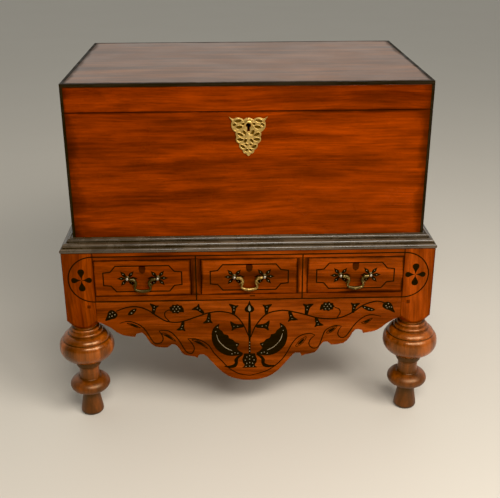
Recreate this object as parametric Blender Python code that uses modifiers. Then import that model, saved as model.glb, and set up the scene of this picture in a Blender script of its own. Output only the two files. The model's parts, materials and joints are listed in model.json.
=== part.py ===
"""Marriage chest on a turned stand with three drawers, built as separate joined pieces.

Metres, +Z up. The front faces -Y. The origin is on the floor under the middle of the stand.
"""

import math

import bmesh
import bpy
from mathutils import Matrix

# Clearances
JOINT_GAP = 0.0003        # at every glued, nailed or seated joint
RUNNING_GAP = 0.0003      # round pins and bolts
DRAWER_GAP = 0.0008       # round a drawer front in its opening
LID_GAP = 0.0010          # seam between chest and lid
CHEST_PLAY = 0.0010       # between the chest and the lip of the moulding
CUT_MARGIN = 0.0100       # how far a cutter runs past the face that it opens

# Chest walls
CHEST_WIDTH = 0.910
CHEST_DEPTH = 0.615
WALL_HEIGHT = 0.329
WALL = 0.020
CHEST_FLOOR = 0.016
CORNER_STRIP = 0.007

# Lid
LID_HEIGHT = 0.070
LID_RAIL = 0.021
LID_EDGE = 0.0078
LID_PANEL_DROP = 0.008

# Lid hinges, let into bevels that stop the open lid
HINGE_SPACING = 0.520
HINGE_LENGTH = 0.070
HINGE_INSET = 0.008
HINGE_LEAF_WIDTH = 0.0105
HINGE_LEAF = 0.0018
HINGE_PIN_RADIUS = 0.0018
KNUCKLE_RADIUS = 0.0042
KNUCKLE_MIDDLE = 0.024
KNUCKLE_CLEARANCE = 0.0006
LID_BEVEL = math.radians(48.5)

# Lock and its pierced plate
LOCK_WIDTH = 0.084
LOCK_HEIGHT = 0.060
LOCK_DEPTH = 0.020
LOCK_PLATE = 0.002
LOCK_DROP = 0.004
BOLT_LENGTH = 0.032
BOLT_HEIGHT = 0.006
BOLT_DEPTH = 0.004
BOLT_SETBACK = 0.004
KEY_GAP = 0.012
LINK_WIDTH = 0.044
LINK_HEIGHT = 0.030
LINK_PLATE = 0.0022
STAPLE = 0.003
STAPLE_DEPTH = 0.011
STAPLE_REACH = 0.0185
STAPLE_PLAY = 0.0012
KEYHOLE_DROP = 0.034
KEYHOLE_RADIUS = 0.0055
KEYHOLE_SLOT = 0.0050
KEYHOLE_LENGTH = 0.0150
SCUTCHEON_WIDTH = 0.098
SCUTCHEON_HEIGHT = 0.101
SCUTCHEON_PLATE = 0.0016
SCUTCHEON_RISE = 0.022    # from the middle of the keyhole to the tips of the horns

# Stand frame
OVERHANG = 0.030
POST = 0.080
BLOCK_HEIGHT = 0.193
TOP_RAIL = 0.021
DRAWER_OPENING = 0.103
DRAWER_RAIL = 0.0155
DIVIDER = 0.0255
FRONT_BOARD = 0.022
SIDE_BOARD = 0.020
SIDE_INSET = 0.002
SIDE_DROP = 0.195
SIDE_ARCH = 0.034
SIDE_ARCH_RUN = 0.075
BACK_BOARD = 0.018
BACK_DROP = 0.160
DUST_BOARD = 0.012
TOP_BOARD = 0.012
GUIDE_WIDTH = 0.020
GUIDE_HEIGHT = 0.045
APRON_DROP = 0.2475
TENON = 0.009
TENON_LENGTH = 0.030
TENON_HEIGHT = 0.040
TENON_SHOULDER = 0.006

# Moulding round the foot of the chest
MOULDING_HEIGHT = 0.033
MOULDING_PROUD = 0.001

# Turned part of a leg, from the floor up
FOOT_HEIGHT = 0.073
FOOT_RADIUS = 0.031
FOOT_TREAD = 0.026
FOOT_ROUND = 0.009
ANKLE_RADIUS = 0.0255
BALL_LOWER = 0.020
BALL_UPPER = 0.023
BALL_RADIUS = 0.0545
NECK_HEIGHT = 0.034
NECK_RADIUS = 0.027
RING_HEIGHT = 0.024
RING_RADIUS = 0.033
BULB_LOWER = 0.038
BULB_UPPER = 0.046
BULB_RADIUS = 0.0738
BULB_SHOULDER = 0.030
BEAD_HEIGHT = 0.016
BEAD_RADIUS = 0.044
COLLAR_HEIGHT = 0.022
COLLAR_RADIUS = 0.034
COLLAR_STEP = 0.002
POMMEL_HEIGHT = 0.028
TURNING_STEPS = 20
SMALL_STEPS = 12          # round pins, posts and holes

# Drawers
DRAWER_FRONT = 0.020
DRAWER_SIDE = 0.010
DRAWER_BOTTOM = 0.007
DRAWER_LENGTH = 0.550
DRAWER_HEADROOM = 0.012

# Handles
HANDLE_RISE = 0.0525      # from the bottom of the opening to the pivots
HANDLE_SPACING = 0.079
HANDLE_REACH = 0.0078
BALL_HEAD = 0.0046
SHANK_RADIUS = 0.0025
HEAD_NECK = 0.0032
ROSE_RADIUS = 0.0062
ROSE_THICKNESS = 0.0015
RIVET_RADIUS = 0.0042
RIVET_CROWN = 0.003
RIVET_HEIGHT = 0.002
BAIL_RADIUS = 0.0034
BAIL_PIN = 0.0015
BAIL_DROP = 0.0360
BAIL_WIDTH = 0.0416       # across the widest part of the loop

# Places worked out from the sizes
STAND_WIDTH = CHEST_WIDTH + 2 * OVERHANG
STAND_DEPTH = CHEST_DEPTH + OVERHANG
STAND_X = STAND_WIDTH / 2
STAND_Y = STAND_DEPTH / 2
POST_X = STAND_X - POST
POST_Y = STAND_Y - POST
LEG_X = STAND_X - POST / 2
LEG_Y = STAND_Y - POST / 2

BALL_Z = FOOT_HEIGHT
NECK_Z = BALL_Z + BALL_LOWER + BALL_UPPER
RING_Z = NECK_Z + NECK_HEIGHT
BULB_Z = RING_Z + RING_HEIGHT
COLLAR_Z = BULB_Z + BULB_LOWER + BULB_UPPER
POMMEL_Z = COLLAR_Z + COLLAR_HEIGHT
BLOCK_Z = POMMEL_Z + POMMEL_HEIGHT
STAND_TOP = BLOCK_Z + BLOCK_HEIGHT
OPENING_TOP = STAND_TOP - TOP_RAIL
OPENING_BOTTOM = OPENING_TOP - DRAWER_OPENING
APRON_TOP = OPENING_BOTTOM - DRAWER_RAIL - JOINT_GAP
OPENING_WIDTH = (2 * POST_X - 2 * DIVIDER) / 3
OPENING_PITCH = OPENING_WIDTH + DIVIDER

CHEST_X = CHEST_WIDTH / 2
CHEST_BACK = STAND_Y
CHEST_FRONT = CHEST_BACK - CHEST_DEPTH
LIP_X = CHEST_X + CHEST_PLAY
LIP_FRONT = CHEST_FRONT - CHEST_PLAY
FLOOR_Z = STAND_TOP + TOP_BOARD + 2 * JOINT_GAP
WALL_Z = FLOOR_Z + CHEST_FLOOR + JOINT_GAP
SEAM_Z = WALL_Z + WALL_HEIGHT
LID_Z = SEAM_Z + LID_GAP
LID_TOP = LID_Z + LID_HEIGHT
RAIL_TOP = LID_TOP - LID_EDGE - JOINT_GAP
HINGE_Y = CHEST_BACK - HINGE_INSET
HINGE_Z = SEAM_Z + LID_GAP / 2

LOCK_TOP = SEAM_Z - LOCK_DROP
LOCK_Y = CHEST_FRONT + WALL + JOINT_GAP
CHANNEL_TOP = LOCK_TOP - LOCK_PLATE
CHANNEL_BOTTOM = CHANNEL_TOP - BOLT_HEIGHT - 2 * RUNNING_GAP
LINK_Y = CHEST_FRONT + LID_RAIL + JOINT_GAP
STAPLE_Y = LINK_Y + LINK_PLATE + STAPLE_DEPTH / 2
KEYHOLE_Z = SEAM_Z - KEYHOLE_DROP

HANDLE_Z = OPENING_BOTTOM + HANDLE_RISE
HANDLE_Y = -STAND_Y - HANDLE_REACH

# Lower edge of the front apron, from a post to the middle: share of the half span, share of the
# drop, and whether the line turns sharply there
APRON_EDGE = (
    (0.915, 0.314, False), (0.881, 0.364, False), (0.842, 0.403, False), (0.795, 0.421, False),
    (0.759, 0.431, True), (0.751, 0.395, True), (0.709, 0.383, False), (0.672, 0.478, False),
    (0.630, 0.552, False), (0.548, 0.568, True), (0.523, 0.532, True), (0.496, 0.534, False),
    (0.469, 0.593, False), (0.440, 0.661, False), (0.375, 0.686, False), (0.351, 0.704, True),
    (0.341, 0.667, True), (0.309, 0.663, False), (0.274, 0.718, False), (0.217, 0.835, False),
    (0.156, 0.930, False), (0.086, 0.983, False),
)
APRON_END = 0.235

# Half the pierced plate's rim from its foot to its head: share of the half width, share of the
# height, and the bulge of the lobe that ends there
SCUTCHEON_RIM = (
    (0.10, 0.088, 0.35), (0.26, 0.173, 0.75), (0.43, 0.335, 0.55), (0.59, 0.500, 0.60),
    (0.61, 0.616, 0.35), (0.82, 0.885, 0.45), (1.00, 1.000, -0.10), (0.76, 0.930, -0.20),
    (0.26, 0.912, 0.35), (0.00, 0.960, 0.12),
)

# Piercings on one side of the plate: share of the half width, share of the height, half length and
# half breadth as shares of the height, and tilt in degrees
SCUTCHEON_HOLES = (
    (0.63, 0.885, 0.034, 0.018, -20), (0.52, 0.735, 0.040, 0.022, -35), (0.26, 0.605, 0.042, 0.017, 70),
    (0.42, 0.555, 0.046, 0.017, 35), (0.47, 0.430, 0.050, 0.018, 4), (0.16, 0.400, 0.038, 0.015, 115),
    (0.29, 0.252, 0.044, 0.018, 35), (0.10, 0.165, 0.026, 0.015, 45),
)

WOOD = ((0.30, 0.060, 0.014), 0.32, 0.0)
STAND_WOOD = ((0.36, 0.085, 0.016), 0.34, 0.0)
LEG_WOOD = ((0.16, 0.040, 0.014), 0.26, 0.0)
INNER_WOOD = ((0.32, 0.17, 0.075), 0.70, 0.0)
EBONY = ((0.018, 0.015, 0.012), 0.30, 0.0)
BRASS = ((0.62, 0.44, 0.18), 0.30, 1.0)
IRON = ((0.12, 0.11, 0.10), 0.45, 1.0)

for old in list(bpy.data.objects):
    bpy.data.objects.remove(old, do_unlink=True)

PARTS = bpy.data.collections.new("marriage_chest")
CUTTERS = bpy.data.collections.new("cutters")
for group in (PARTS, CUTTERS):
    bpy.context.scene.collection.children.link(group)


def finish(name, look):
    """A material of the piece's own."""
    colour, roughness, metallic = look
    material = bpy.data.materials.new(name)
    material.use_nodes = True
    shader = material.node_tree.nodes["Principled BSDF"]
    shader.inputs["Base Color"].default_value = (*colour, 1.0)
    shader.inputs["Roughness"].default_value = roughness
    shader.inputs["Metallic"].default_value = metallic
    material.diffuse_color = (*colour, 1.0)
    return material


def pivot(name, place):
    """An empty on a joint's axis, for the pieces that move about it."""
    empty = bpy.data.objects.new(name, None)
    empty.location = place
    PARTS.objects.link(empty)
    return empty


def part(name, mesh, look, place=(0, 0, 0), turn=(0, 0, 0), parent=None):
    """A named piece, placed in the world and carried by its pivot if it has one."""
    piece = bpy.data.objects.new(name, mesh)
    piece.location = place
    piece.rotation_euler = turn
    if parent:
        piece.parent = parent
        piece.matrix_parent_inverse = Matrix.Translation(parent.location).inverted()
    PARTS.objects.link(piece)
    piece.data.materials.clear()
    piece.data.materials.append(finish(name, look))
    return piece


def helper(name, mesh, place=(0, 0, 0), turn=(0, 0, 0)):
    """A body that cuts or joins a piece and isn't one itself."""
    body = bpy.data.objects.new(name, mesh)
    body.location = place
    body.rotation_euler = turn
    body.hide_render = True
    body.display_type = "WIRE"
    CUTTERS.objects.link(body)
    return body


def combine(piece, operation, *bodies):
    """Boolean modifiers on a piece, one for each body."""
    for body in bodies:
        modifier = piece.modifiers.new(body.name, "BOOLEAN")
        modifier.operation = operation
        modifier.solver = "EXACT"
        modifier.object = body
    return piece


def baked(source):
    """The mesh that an object shows, welded, its faces out, with the object itself removed."""
    bpy.context.view_layer.update()
    seen = source.evaluated_get(bpy.context.evaluated_depsgraph_get())
    mesh = bpy.data.meshes.new_from_object(seen)
    shape = bmesh.new()
    shape.from_mesh(mesh)
    bmesh.ops.remove_doubles(shape, verts=shape.verts, dist=1e-6)
    bmesh.ops.recalc_face_normals(shape, faces=shape.faces)
    if shape.calc_volume(signed=True) < 0:
        bmesh.ops.reverse_faces(shape, faces=shape.faces)
    shape.to_mesh(mesh)
    shape.free()
    bpy.data.objects.remove(source, do_unlink=True)
    return mesh


def cuboid(size):
    """A box mesh about its own middle."""
    mesh = bpy.data.meshes.new("cuboid")
    shape = bmesh.new()
    bmesh.ops.create_cube(shape, size=1.0, matrix=Matrix.Diagonal((*size, 1.0)))
    shape.to_mesh(mesh)
    shape.free()
    return mesh


def rod(radius, length):
    """A cylinder mesh along X about its own middle."""
    mesh = bpy.data.meshes.new("rod")
    shape = bmesh.new()
    along_x = Matrix.Rotation(math.pi / 2, 4, "Y")
    bmesh.ops.create_cone(shape, cap_ends=True, segments=SMALL_STEPS, radius1=radius, radius2=radius,
                          depth=length, matrix=along_x)
    shape.to_mesh(mesh)
    shape.free()
    return mesh


def span(low, high):
    """Size and middle of the box between two corners."""
    size = [b - a for a, b in zip(low, high)]
    middle = [(a + b) / 2 for a, b in zip(low, high)]
    return size, middle


def board(name, low, high, look, parent=None):
    size, middle = span(low, high)
    return part(name, cuboid(size), look, middle, parent=parent)


def block(name, low, high):
    size, middle = span(low, high)
    return helper(name, cuboid(size), middle)


def turned(profile, steps):
    """The closed mesh of a profile of (radius, height) points, top to bottom, turned about Z."""
    mesh = bpy.data.meshes.new("profile")
    shape = bmesh.new()
    points = [shape.verts.new((radius, 0, height)) for radius, height in profile]
    for upper, lower in zip(points, points[1:]):
        shape.edges.new((upper, lower))
    shape.to_mesh(mesh)
    shape.free()
    lathe = helper("lathe", mesh)
    screw = lathe.modifiers.new("Screw", "SCREW")
    screw.axis = "Z"
    screw.steps = steps
    screw.render_steps = steps
    screw.use_merge_vertices = True
    screw.merge_threshold = 0.00001
    screw.use_smooth_shade = True
    solid = baked(lathe)
    solid.set_sharp_from_angle(angle=math.radians(40))
    return solid


def sheet(loops, thickness, smooth_steps=2):
    """The mesh of a flat outline. A loop is a list of (x, y, sharp) points, curved where not sharp."""
    curve = bpy.data.curves.new("outline", "CURVE")
    curve.dimensions = "2D"
    curve.fill_mode = "BOTH"
    curve.extrude = thickness / 2
    curve.resolution_u = smooth_steps
    for loop in loops:
        spline = curve.splines.new("BEZIER")
        spline.use_cyclic_u = True
        spline.bezier_points.add(len(loop) - 1)
        for point, (x, y, sharp) in zip(spline.bezier_points, loop):
            point.co = (x, y, 0)
            kind = "VECTOR" if sharp else "AUTO"
            point.handle_left_type = kind
            point.handle_right_type = kind
    return baked(helper("outline", curve))


def arc(start, end, bulge, steps=3):
    """Points after the start, up to the end, of an arc that bulges to the right of its chord."""
    if not bulge:
        return [end]
    (x0, y0), (x1, y1) = start, end
    half_turn = 2 * math.atan(abs(bulge))
    chord = math.hypot(x1 - x0, y1 - y0)
    points = []
    for step in range(1, steps + 1):
        angle = half_turn * (2 * step / steps - 1)
        along = 0.5 + math.sin(angle) / (2 * math.sin(half_turn))
        rise = (math.cos(angle) - math.cos(half_turn)) / (2 * math.sin(half_turn))
        aside = math.copysign(rise, bulge) * chord
        points.append((x0 + (x1 - x0) * along + (y1 - y0) / chord * aside,
                       y0 + (y1 - y0) * along - (x1 - x0) / chord * aside))
    return points


def ellipse(centre, half_width, half_height, first, last, steps):
    """Points of part of an ellipse, from the first angle to the last, in degrees."""
    points = []
    for step in range(steps + 1):
        angle = math.radians(first + (last - first) * step / steps)
        points.append((centre[0] + half_width * math.cos(angle), centre[1] + half_height * math.sin(angle)))
    return points


def leg_profile():
    """Outline of the turned part of a leg, from inside its block down to the floor."""
    spigot = COLLAR_RADIUS - COLLAR_STEP
    spigot_top = POMMEL_Z + POMMEL_HEIGHT / 2
    bead = BEAD_HEIGHT / 2
    bulb_middle = BULB_Z + BULB_LOWER
    ball_middle = BALL_Z + BALL_LOWER
    profile = [(0, spigot_top), (spigot, spigot_top), (spigot, COLLAR_Z + BEAD_HEIGHT)]
    profile += ellipse((BEAD_RADIUS - bead, COLLAR_Z + bead), bead, bead, 75, -75, 3)
    profile += ellipse((BULB_SHOULDER, bulb_middle), BULB_RADIUS - BULB_SHOULDER, BULB_UPPER, 78, 0, 4)
    profile += ellipse((RING_RADIUS, bulb_middle), BULB_RADIUS - RING_RADIUS, BULB_LOWER, -22, -90, 4)
    profile += [(RING_RADIUS, RING_Z + RING_HEIGHT / 4), (NECK_RADIUS, RING_Z - NECK_HEIGHT / 4)]
    profile += ellipse((NECK_RADIUS, ball_middle), BALL_RADIUS - NECK_RADIUS, BALL_UPPER, 90, 0, 3)
    profile += ellipse((ANKLE_RADIUS, ball_middle), BALL_RADIUS - ANKLE_RADIUS, BALL_LOWER, -28, -90, 3)
    for share in (1 / 3, 2 / 3, 1):
        flare = (1 - math.cos(math.pi * share)) / 2
        profile.append((ANKLE_RADIUS + (FOOT_RADIUS - ANKLE_RADIUS) * flare,
                        FOOT_HEIGHT + (FOOT_ROUND - FOOT_HEIGHT) * share))
    return profile + [(FOOT_TREAD, 0), (0, 0)]


def leg_mesh():
    """A square block with turned shoulders over the turned part."""
    corner = POST * math.sqrt(0.5) + COLLAR_STEP
    top = STAND_TOP + CUT_MARGIN
    shoulder = turned([(0, top), (corner, top), (corner, BLOCK_Z), (COLLAR_RADIUS, POMMEL_Z), (0, POMMEL_Z)],
                      TURNING_STEPS)
    size, middle = span((-POST / 2, -POST / 2, POMMEL_Z - CUT_MARGIN), (POST / 2, POST / 2, STAND_TOP))
    leg = helper("leg", cuboid(size), middle)
    combine(leg, "INTERSECT", helper("leg_shoulder", shoulder))
    combine(leg, "UNION", helper("leg_turning", turned(leg_profile(), TURNING_STEPS)))
    mesh = baked(leg)
    mesh.transform(Matrix.Translation(middle))
    return mesh


def legs():
    shape = leg_mesh()
    tenon_top = APRON_TOP - TENON_SHOULDER
    tenon_y = -STAND_Y + FRONT_BOARD / 2
    for side, x in (("left", -1), ("right", 1)):
        part("leg_back_" + side, shape.copy(), LEG_WOOD, (x * LEG_X, LEG_Y, 0))
        leg = part("leg_front_" + side, shape.copy(), LEG_WOOD, (x * LEG_X, -LEG_Y, 0))
        size = (2 * (TENON_LENGTH + JOINT_GAP), TENON + 2 * JOINT_GAP, TENON_HEIGHT + 2 * JOINT_GAP)
        place = (x * POST_X, tenon_y, tenon_top - TENON_HEIGHT / 2)
        combine(leg, "DIFFERENCE", helper("mortise_" + side, cuboid(size), place))


def apron():
    """Shaped front apron, tenoned into the front legs."""
    half = POST_X - JOINT_GAP
    right = [(half, -APRON_DROP * APRON_END, True)]
    right += [(half * across, -APRON_DROP * down, sharp) for across, down, sharp in APRON_EDGE]
    left = [(-x, y, sharp) for x, y, sharp in reversed(right)]
    loop = [(half, 0, True)] + right + [(0, -APRON_DROP, False)] + left + [(-half, 0, True)]
    middle_y = -STAND_Y + FRONT_BOARD / 2
    piece = part("apron_front", sheet([loop], FRONT_BOARD), STAND_WOOD, (0, middle_y, APRON_TOP),
                 (math.pi / 2, 0, 0))
    top = APRON_TOP - TENON_SHOULDER
    for side, x in (("left", -1), ("right", 1)):
        tip = x * (POST_X + TENON_LENGTH)
        root = x * (half - TENON_LENGTH)
        tenon = block("tenon_" + side, (min(tip, root), middle_y - TENON / 2, top - TENON_HEIGHT),
                      (max(tip, root), middle_y + TENON / 2, top))
        combine(piece, "UNION", tenon)


def stand_rails():
    """Rails over and under the drawers, and the partitions between them."""
    half = POST_X - JOINT_GAP
    back_face = -STAND_Y + FRONT_BOARD
    board("rail_top", (-half, -STAND_Y, OPENING_TOP), (half, back_face, STAND_TOP), STAND_WOOD)
    board("rail_drawer", (-half, -STAND_Y, OPENING_BOTTOM - DRAWER_RAIL), (half, back_face, OPENING_BOTTOM),
          STAND_WOOD)
    inner_back = STAND_Y - SIDE_INSET - BACK_BOARD - JOINT_GAP
    for side, x in (("left", -1), ("right", 1)):
        middle = x * OPENING_PITCH / 2
        low, high = middle - DIVIDER / 2, middle + DIVIDER / 2
        wall = board("partition_" + side, (low, -STAND_Y, OPENING_BOTTOM + JOINT_GAP),
                     (high, inner_back, STAND_TOP - JOINT_GAP), STAND_WOOD)
        notch = block("partition_notch_" + side,
                      (low - CUT_MARGIN, -STAND_Y - CUT_MARGIN, OPENING_TOP - JOINT_GAP),
                      (high + CUT_MARGIN, back_face + JOINT_GAP, STAND_TOP + CUT_MARGIN))
        combine(wall, "DIFFERENCE", notch)
        guide_inner = x * (POST_X + JOINT_GAP)
        guide_outer = guide_inner + x * GUIDE_WIDTH
        end = POST_Y - JOINT_GAP
        bottom = OPENING_BOTTOM - DUST_BOARD
        board("guide_" + side, (min(guide_inner, guide_outer), -end, bottom),
              (max(guide_inner, guide_outer), end, bottom + GUIDE_HEIGHT), INNER_WOOD)
    board("dust_board", (-half, back_face + JOINT_GAP, OPENING_BOTTOM - DUST_BOARD),
          (half, inner_back, OPENING_BOTTOM), INNER_WOOD)
    lip = LIP_X - JOINT_GAP
    board("stand_top", (-lip, LIP_FRONT + JOINT_GAP, STAND_TOP + JOINT_GAP),
          (lip, STAND_Y, STAND_TOP + JOINT_GAP + TOP_BOARD), INNER_WOOD)


def stand_sides():
    """Arched side boards and the plain back, between the legs."""
    half = POST_Y - JOINT_GAP
    flat = half - SIDE_ARCH_RUN
    rise = SIDE_ARCH - SIDE_DROP
    spring = half - SIDE_ARCH_RUN / 2, -SIDE_DROP + SIDE_ARCH / 2
    right = [(half, 0, True), (half, -SIDE_DROP, True), (*spring, False), (flat, rise, True)]
    loop = right + [(-x, y, sharp) for x, y, sharp in reversed(right)]
    for side, x in (("left", -1), ("right", 1)):
        middle = x * (STAND_X - SIDE_INSET - SIDE_BOARD / 2)
        part("side_" + side, sheet([loop], SIDE_BOARD), STAND_WOOD, (middle, 0, STAND_TOP),
             (math.pi / 2, 0, math.pi / 2))
    back = STAND_Y - SIDE_INSET
    board("stand_back", (-POST_X + JOINT_GAP, back - BACK_BOARD, STAND_TOP - BACK_DROP),
          (POST_X - JOINT_GAP, back, STAND_TOP), STAND_WOOD)


def moulding_profile():
    """Stepped beads, as distance out from the lip and height above the stand."""
    reach = OVERHANG - CHEST_PLAY + MOULDING_PROUD
    step = reach / 6
    rise = MOULDING_HEIGHT / 11
    corner = (0, 0)
    rim = [corner, (reach - step / 4, 0)]
    rim += arc(rim[-1], (reach - step / 4, 2 * rise), 0.8)
    rim.append((reach - step / 2, 2 * rise))
    rim += arc(rim[-1], (reach - step / 2, 4.2 * rise), 0.7)
    rim.append((reach - 1.6 * step, 4.4 * rise))
    rim += arc(rim[-1], (2.3 * step, 7 * rise), -0.3)
    rim += arc(rim[-1], (2 * step, 9.6 * rise), 0.8)
    rim.append((1.2 * step, 9.8 * rise))
    rim += [(step, MOULDING_HEIGHT), (0, MOULDING_HEIGHT)]
    return [(out, up, True) for out, up in rim]


def mouldings():
    """Front and side lengths of the moulding, mitred at the front corners."""
    profile = moulding_profile()
    base = STAND_TOP + JOINT_GAP
    side_length = STAND_Y - LIP_FRONT
    side_middle = (STAND_Y + LIP_FRONT) / 2
    runs = (
        ("moulding_front", 2 * (LIP_X - JOINT_GAP), (0, LIP_FRONT, base), -math.pi / 2, (-1, 1)),
        ("moulding_right", side_length, (LIP_X, side_middle, base), 0, (1,)),
        ("moulding_left", side_length, (-LIP_X, side_middle, base), math.pi, (-1,)),
    )
    for name, length, place, turn, mitres in runs:
        mesh = sheet([profile], length, 1)
        for vertex in mesh.vertices:
            end = math.copysign(1, vertex.co.z)
            if end in mitres:
                vertex.co.z += end * vertex.co.x
        part(name, mesh, EBONY, place, (math.pi / 2, 0, turn))


def hinge_recesses(name, board_piece, direction):
    """Beds for both hinges in a board's edge: up for the lid, down for the chest."""
    middle_y = HINGE_Y - HINGE_LEAF_WIDTH / 2 - JOINT_GAP / 2
    depth = HINGE_LEAF + LID_GAP / 2
    for side, x in (("left", -1), ("right", 1)):
        place = (x * HINGE_SPACING / 2, middle_y, HINGE_Z + direction * depth / 2)
        size = (HINGE_LENGTH + 2 * JOINT_GAP, HINGE_LEAF_WIDTH + JOINT_GAP, depth)
        bed = helper(name + "_bed_" + side, cuboid(size), place)
        barrel = helper(name + "_barrel_" + side,
                        rod(KNUCKLE_RADIUS + KNUCKLE_CLEARANCE, HINGE_LENGTH + 2 * JOINT_GAP),
                        (x * HINGE_SPACING / 2, HINGE_Y, HINGE_Z))
        combine(board_piece, "DIFFERENCE", bed, barrel)


def back_bevel(name, board_piece, direction):
    """Bevel along a back edge through the hinge axis, so that the open lid comes to rest on it."""
    size = 4 * HINGE_INSET
    shift = Matrix.Translation((0, size / 2, -direction * size / 2))
    mesh = cuboid((CHEST_WIDTH + 2 * CUT_MARGIN, size, size))
    mesh.transform(shift)
    cutter = helper(name + "_bevel", mesh, (0, HINGE_Y, HINGE_Z), (direction * LID_BEVEL, 0, 0))
    combine(board_piece, "DIFFERENCE", cutter)


def keyhole(depth):
    """A key shaped hole through the front board: a round eye over a slot."""
    middle_y = CHEST_FRONT + WALL / 2
    eye = helper("key_eye", rod(KEYHOLE_RADIUS, depth), (0, middle_y, KEYHOLE_Z), (0, 0, math.pi / 2))
    slot = block("key_slot", (-KEYHOLE_SLOT / 2, middle_y - depth / 2, KEYHOLE_Z - KEYHOLE_LENGTH),
                 (KEYHOLE_SLOT / 2, middle_y + depth / 2, KEYHOLE_Z))
    return eye, slot


def chest_walls():
    inner_front = CHEST_FRONT + WALL
    inner_back = CHEST_BACK - WALL
    strip = CORNER_STRIP
    board("chest_bottom", (-CHEST_X, CHEST_FRONT, FLOOR_Z),
          (CHEST_X, CHEST_BACK, FLOOR_Z + CHEST_FLOOR), WOOD)
    front = board("chest_front", (-CHEST_X, CHEST_FRONT, WALL_Z), (CHEST_X, inner_front, SEAM_Z), WOOD)
    for side, x in (("left", -1), ("right", 1)):
        outer, inner = x * CHEST_X, x * (CHEST_X - strip)
        board("corner_strip_" + side, (min(outer, inner), CHEST_FRONT, WALL_Z),
              (max(outer, inner), CHEST_FRONT + strip, SEAM_Z), EBONY)
        rebate = 2 * (strip + JOINT_GAP)
        size = (rebate, rebate, WALL_HEIGHT + 2 * CUT_MARGIN)
        cutter = helper("rebate_" + side, cuboid(size), (outer, CHEST_FRONT, WALL_Z + WALL_HEIGHT / 2))
        combine(front, "DIFFERENCE", cutter)
        inner = x * (CHEST_X - WALL)
        board("chest_" + side, (min(outer, inner), inner_front + JOINT_GAP, WALL_Z),
              (max(outer, inner), inner_back - JOINT_GAP, SEAM_Z), WOOD)
    combine(front, "DIFFERENCE", *keyhole(WALL + 2 * CUT_MARGIN))
    back = board("chest_back", (-CHEST_X, inner_back, WALL_Z), (CHEST_X, CHEST_BACK, SEAM_Z), WOOD)
    back_bevel("chest_back", back, -1)
    hinge_recesses("chest_back", back, -1)


def lid_boards(swing):
    """Rails, stepped top and ebony edging of the lid."""
    back_face = CHEST_BACK
    rail_front = CHEST_FRONT + LID_RAIL
    rail_back = back_face - LID_RAIL
    front = board("lid_front", (-CHEST_X, CHEST_FRONT, LID_Z), (CHEST_X, rail_front, RAIL_TOP), WOOD, swing)
    back = board("lid_back", (-CHEST_X, rail_back, LID_Z), (CHEST_X, back_face, RAIL_TOP), WOOD, swing)
    back_bevel("lid_back", back, 1)
    hinge_recesses("lid_back", back, 1)
    edging_bottom = RAIL_TOP + JOINT_GAP
    edging = board("lid_edging", (-CHEST_X, CHEST_FRONT, edging_bottom), (CHEST_X, back_face, LID_TOP),
                   EBONY, swing)
    inside = block("edging_inside",
                   (-CHEST_X + LID_EDGE, CHEST_FRONT + LID_EDGE, edging_bottom - CUT_MARGIN),
                   (CHEST_X - LID_EDGE, back_face - LID_EDGE, LID_TOP + CUT_MARGIN))
    combine(edging, "DIFFERENCE", inside)
    for side, x in (("left", -1), ("right", 1)):
        outer, inner = x * CHEST_X, x * (CHEST_X - LID_RAIL)
        board("lid_" + side, (min(outer, inner), rail_front + JOINT_GAP, LID_Z),
              (max(outer, inner), rail_back - JOINT_GAP, RAIL_TOP), WOOD, swing)
        rebate = 2 * (CORNER_STRIP + JOINT_GAP)
        cutter = helper("lid_rebate_" + side, cuboid((rebate, rebate, LID_HEIGHT + 2 * CUT_MARGIN)),
                        (outer, CHEST_FRONT, LID_Z + LID_HEIGHT / 2))
        combine(front, "DIFFERENCE", cutter)
        inner = x * (CHEST_X - CORNER_STRIP)
        corner = block("edging_corner_" + side, (min(outer, inner), CHEST_FRONT, LID_Z),
                       (max(outer, inner), CHEST_FRONT + CORNER_STRIP, LID_TOP - LID_EDGE / 2))
        combine(edging, "UNION", corner)
    margin = LID_EDGE + JOINT_GAP
    top = board("lid_top", (-CHEST_X + margin, CHEST_FRONT + margin, edging_bottom),
                (CHEST_X - margin, back_face - margin, LID_TOP), WOOD, swing)
    margin = LID_RAIL + JOINT_GAP
    panel = block("lid_panel", (-CHEST_X + margin, CHEST_FRONT + margin, RAIL_TOP - LID_PANEL_DROP),
                  (CHEST_X - margin, back_face - margin, LID_TOP - LID_EDGE / 2))
    combine(top, "UNION", panel)


def hinge_leaf(name, x, direction, knuckles, parent=None):
    """A leaf in the seam with its own knuckles round the pin: up for the lid, down for the chest."""
    play = JOINT_GAP / 2
    face = HINGE_Z + direction * play
    far = HINGE_Z + direction * HINGE_LEAF
    clear = HINGE_Y - KNUCKLE_RADIUS - KNUCKLE_CLEARANCE
    half = HINGE_LENGTH / 2
    leaf = board(name, (x - half, HINGE_Y - HINGE_LEAF_WIDTH, min(face, far)),
                 (x + half, clear, max(face, far)), BRASS, parent)
    bore = helper(name + "_bore", rod(HINGE_PIN_RADIUS + RUNNING_GAP, HINGE_LENGTH + 2 * CUT_MARGIN),
                  (x, HINGE_Y, HINGE_Z))
    for number, (start, end) in enumerate(knuckles):
        middle = x + (start + end) / 2
        tab = block(f"{name}_tab_{number}", (x + start, clear - KNUCKLE_CLEARANCE, min(face, far)),
                    (x + end, HINGE_Y - HINGE_PIN_RADIUS - RUNNING_GAP, max(face, far)))
        barrel = helper(f"{name}_knuckle_{number}", rod(KNUCKLE_RADIUS, end - start),
                        (middle, HINGE_Y, HINGE_Z))
        combine(leaf, "UNION", tab, barrel)
    combine(leaf, "DIFFERENCE", bore)


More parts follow.
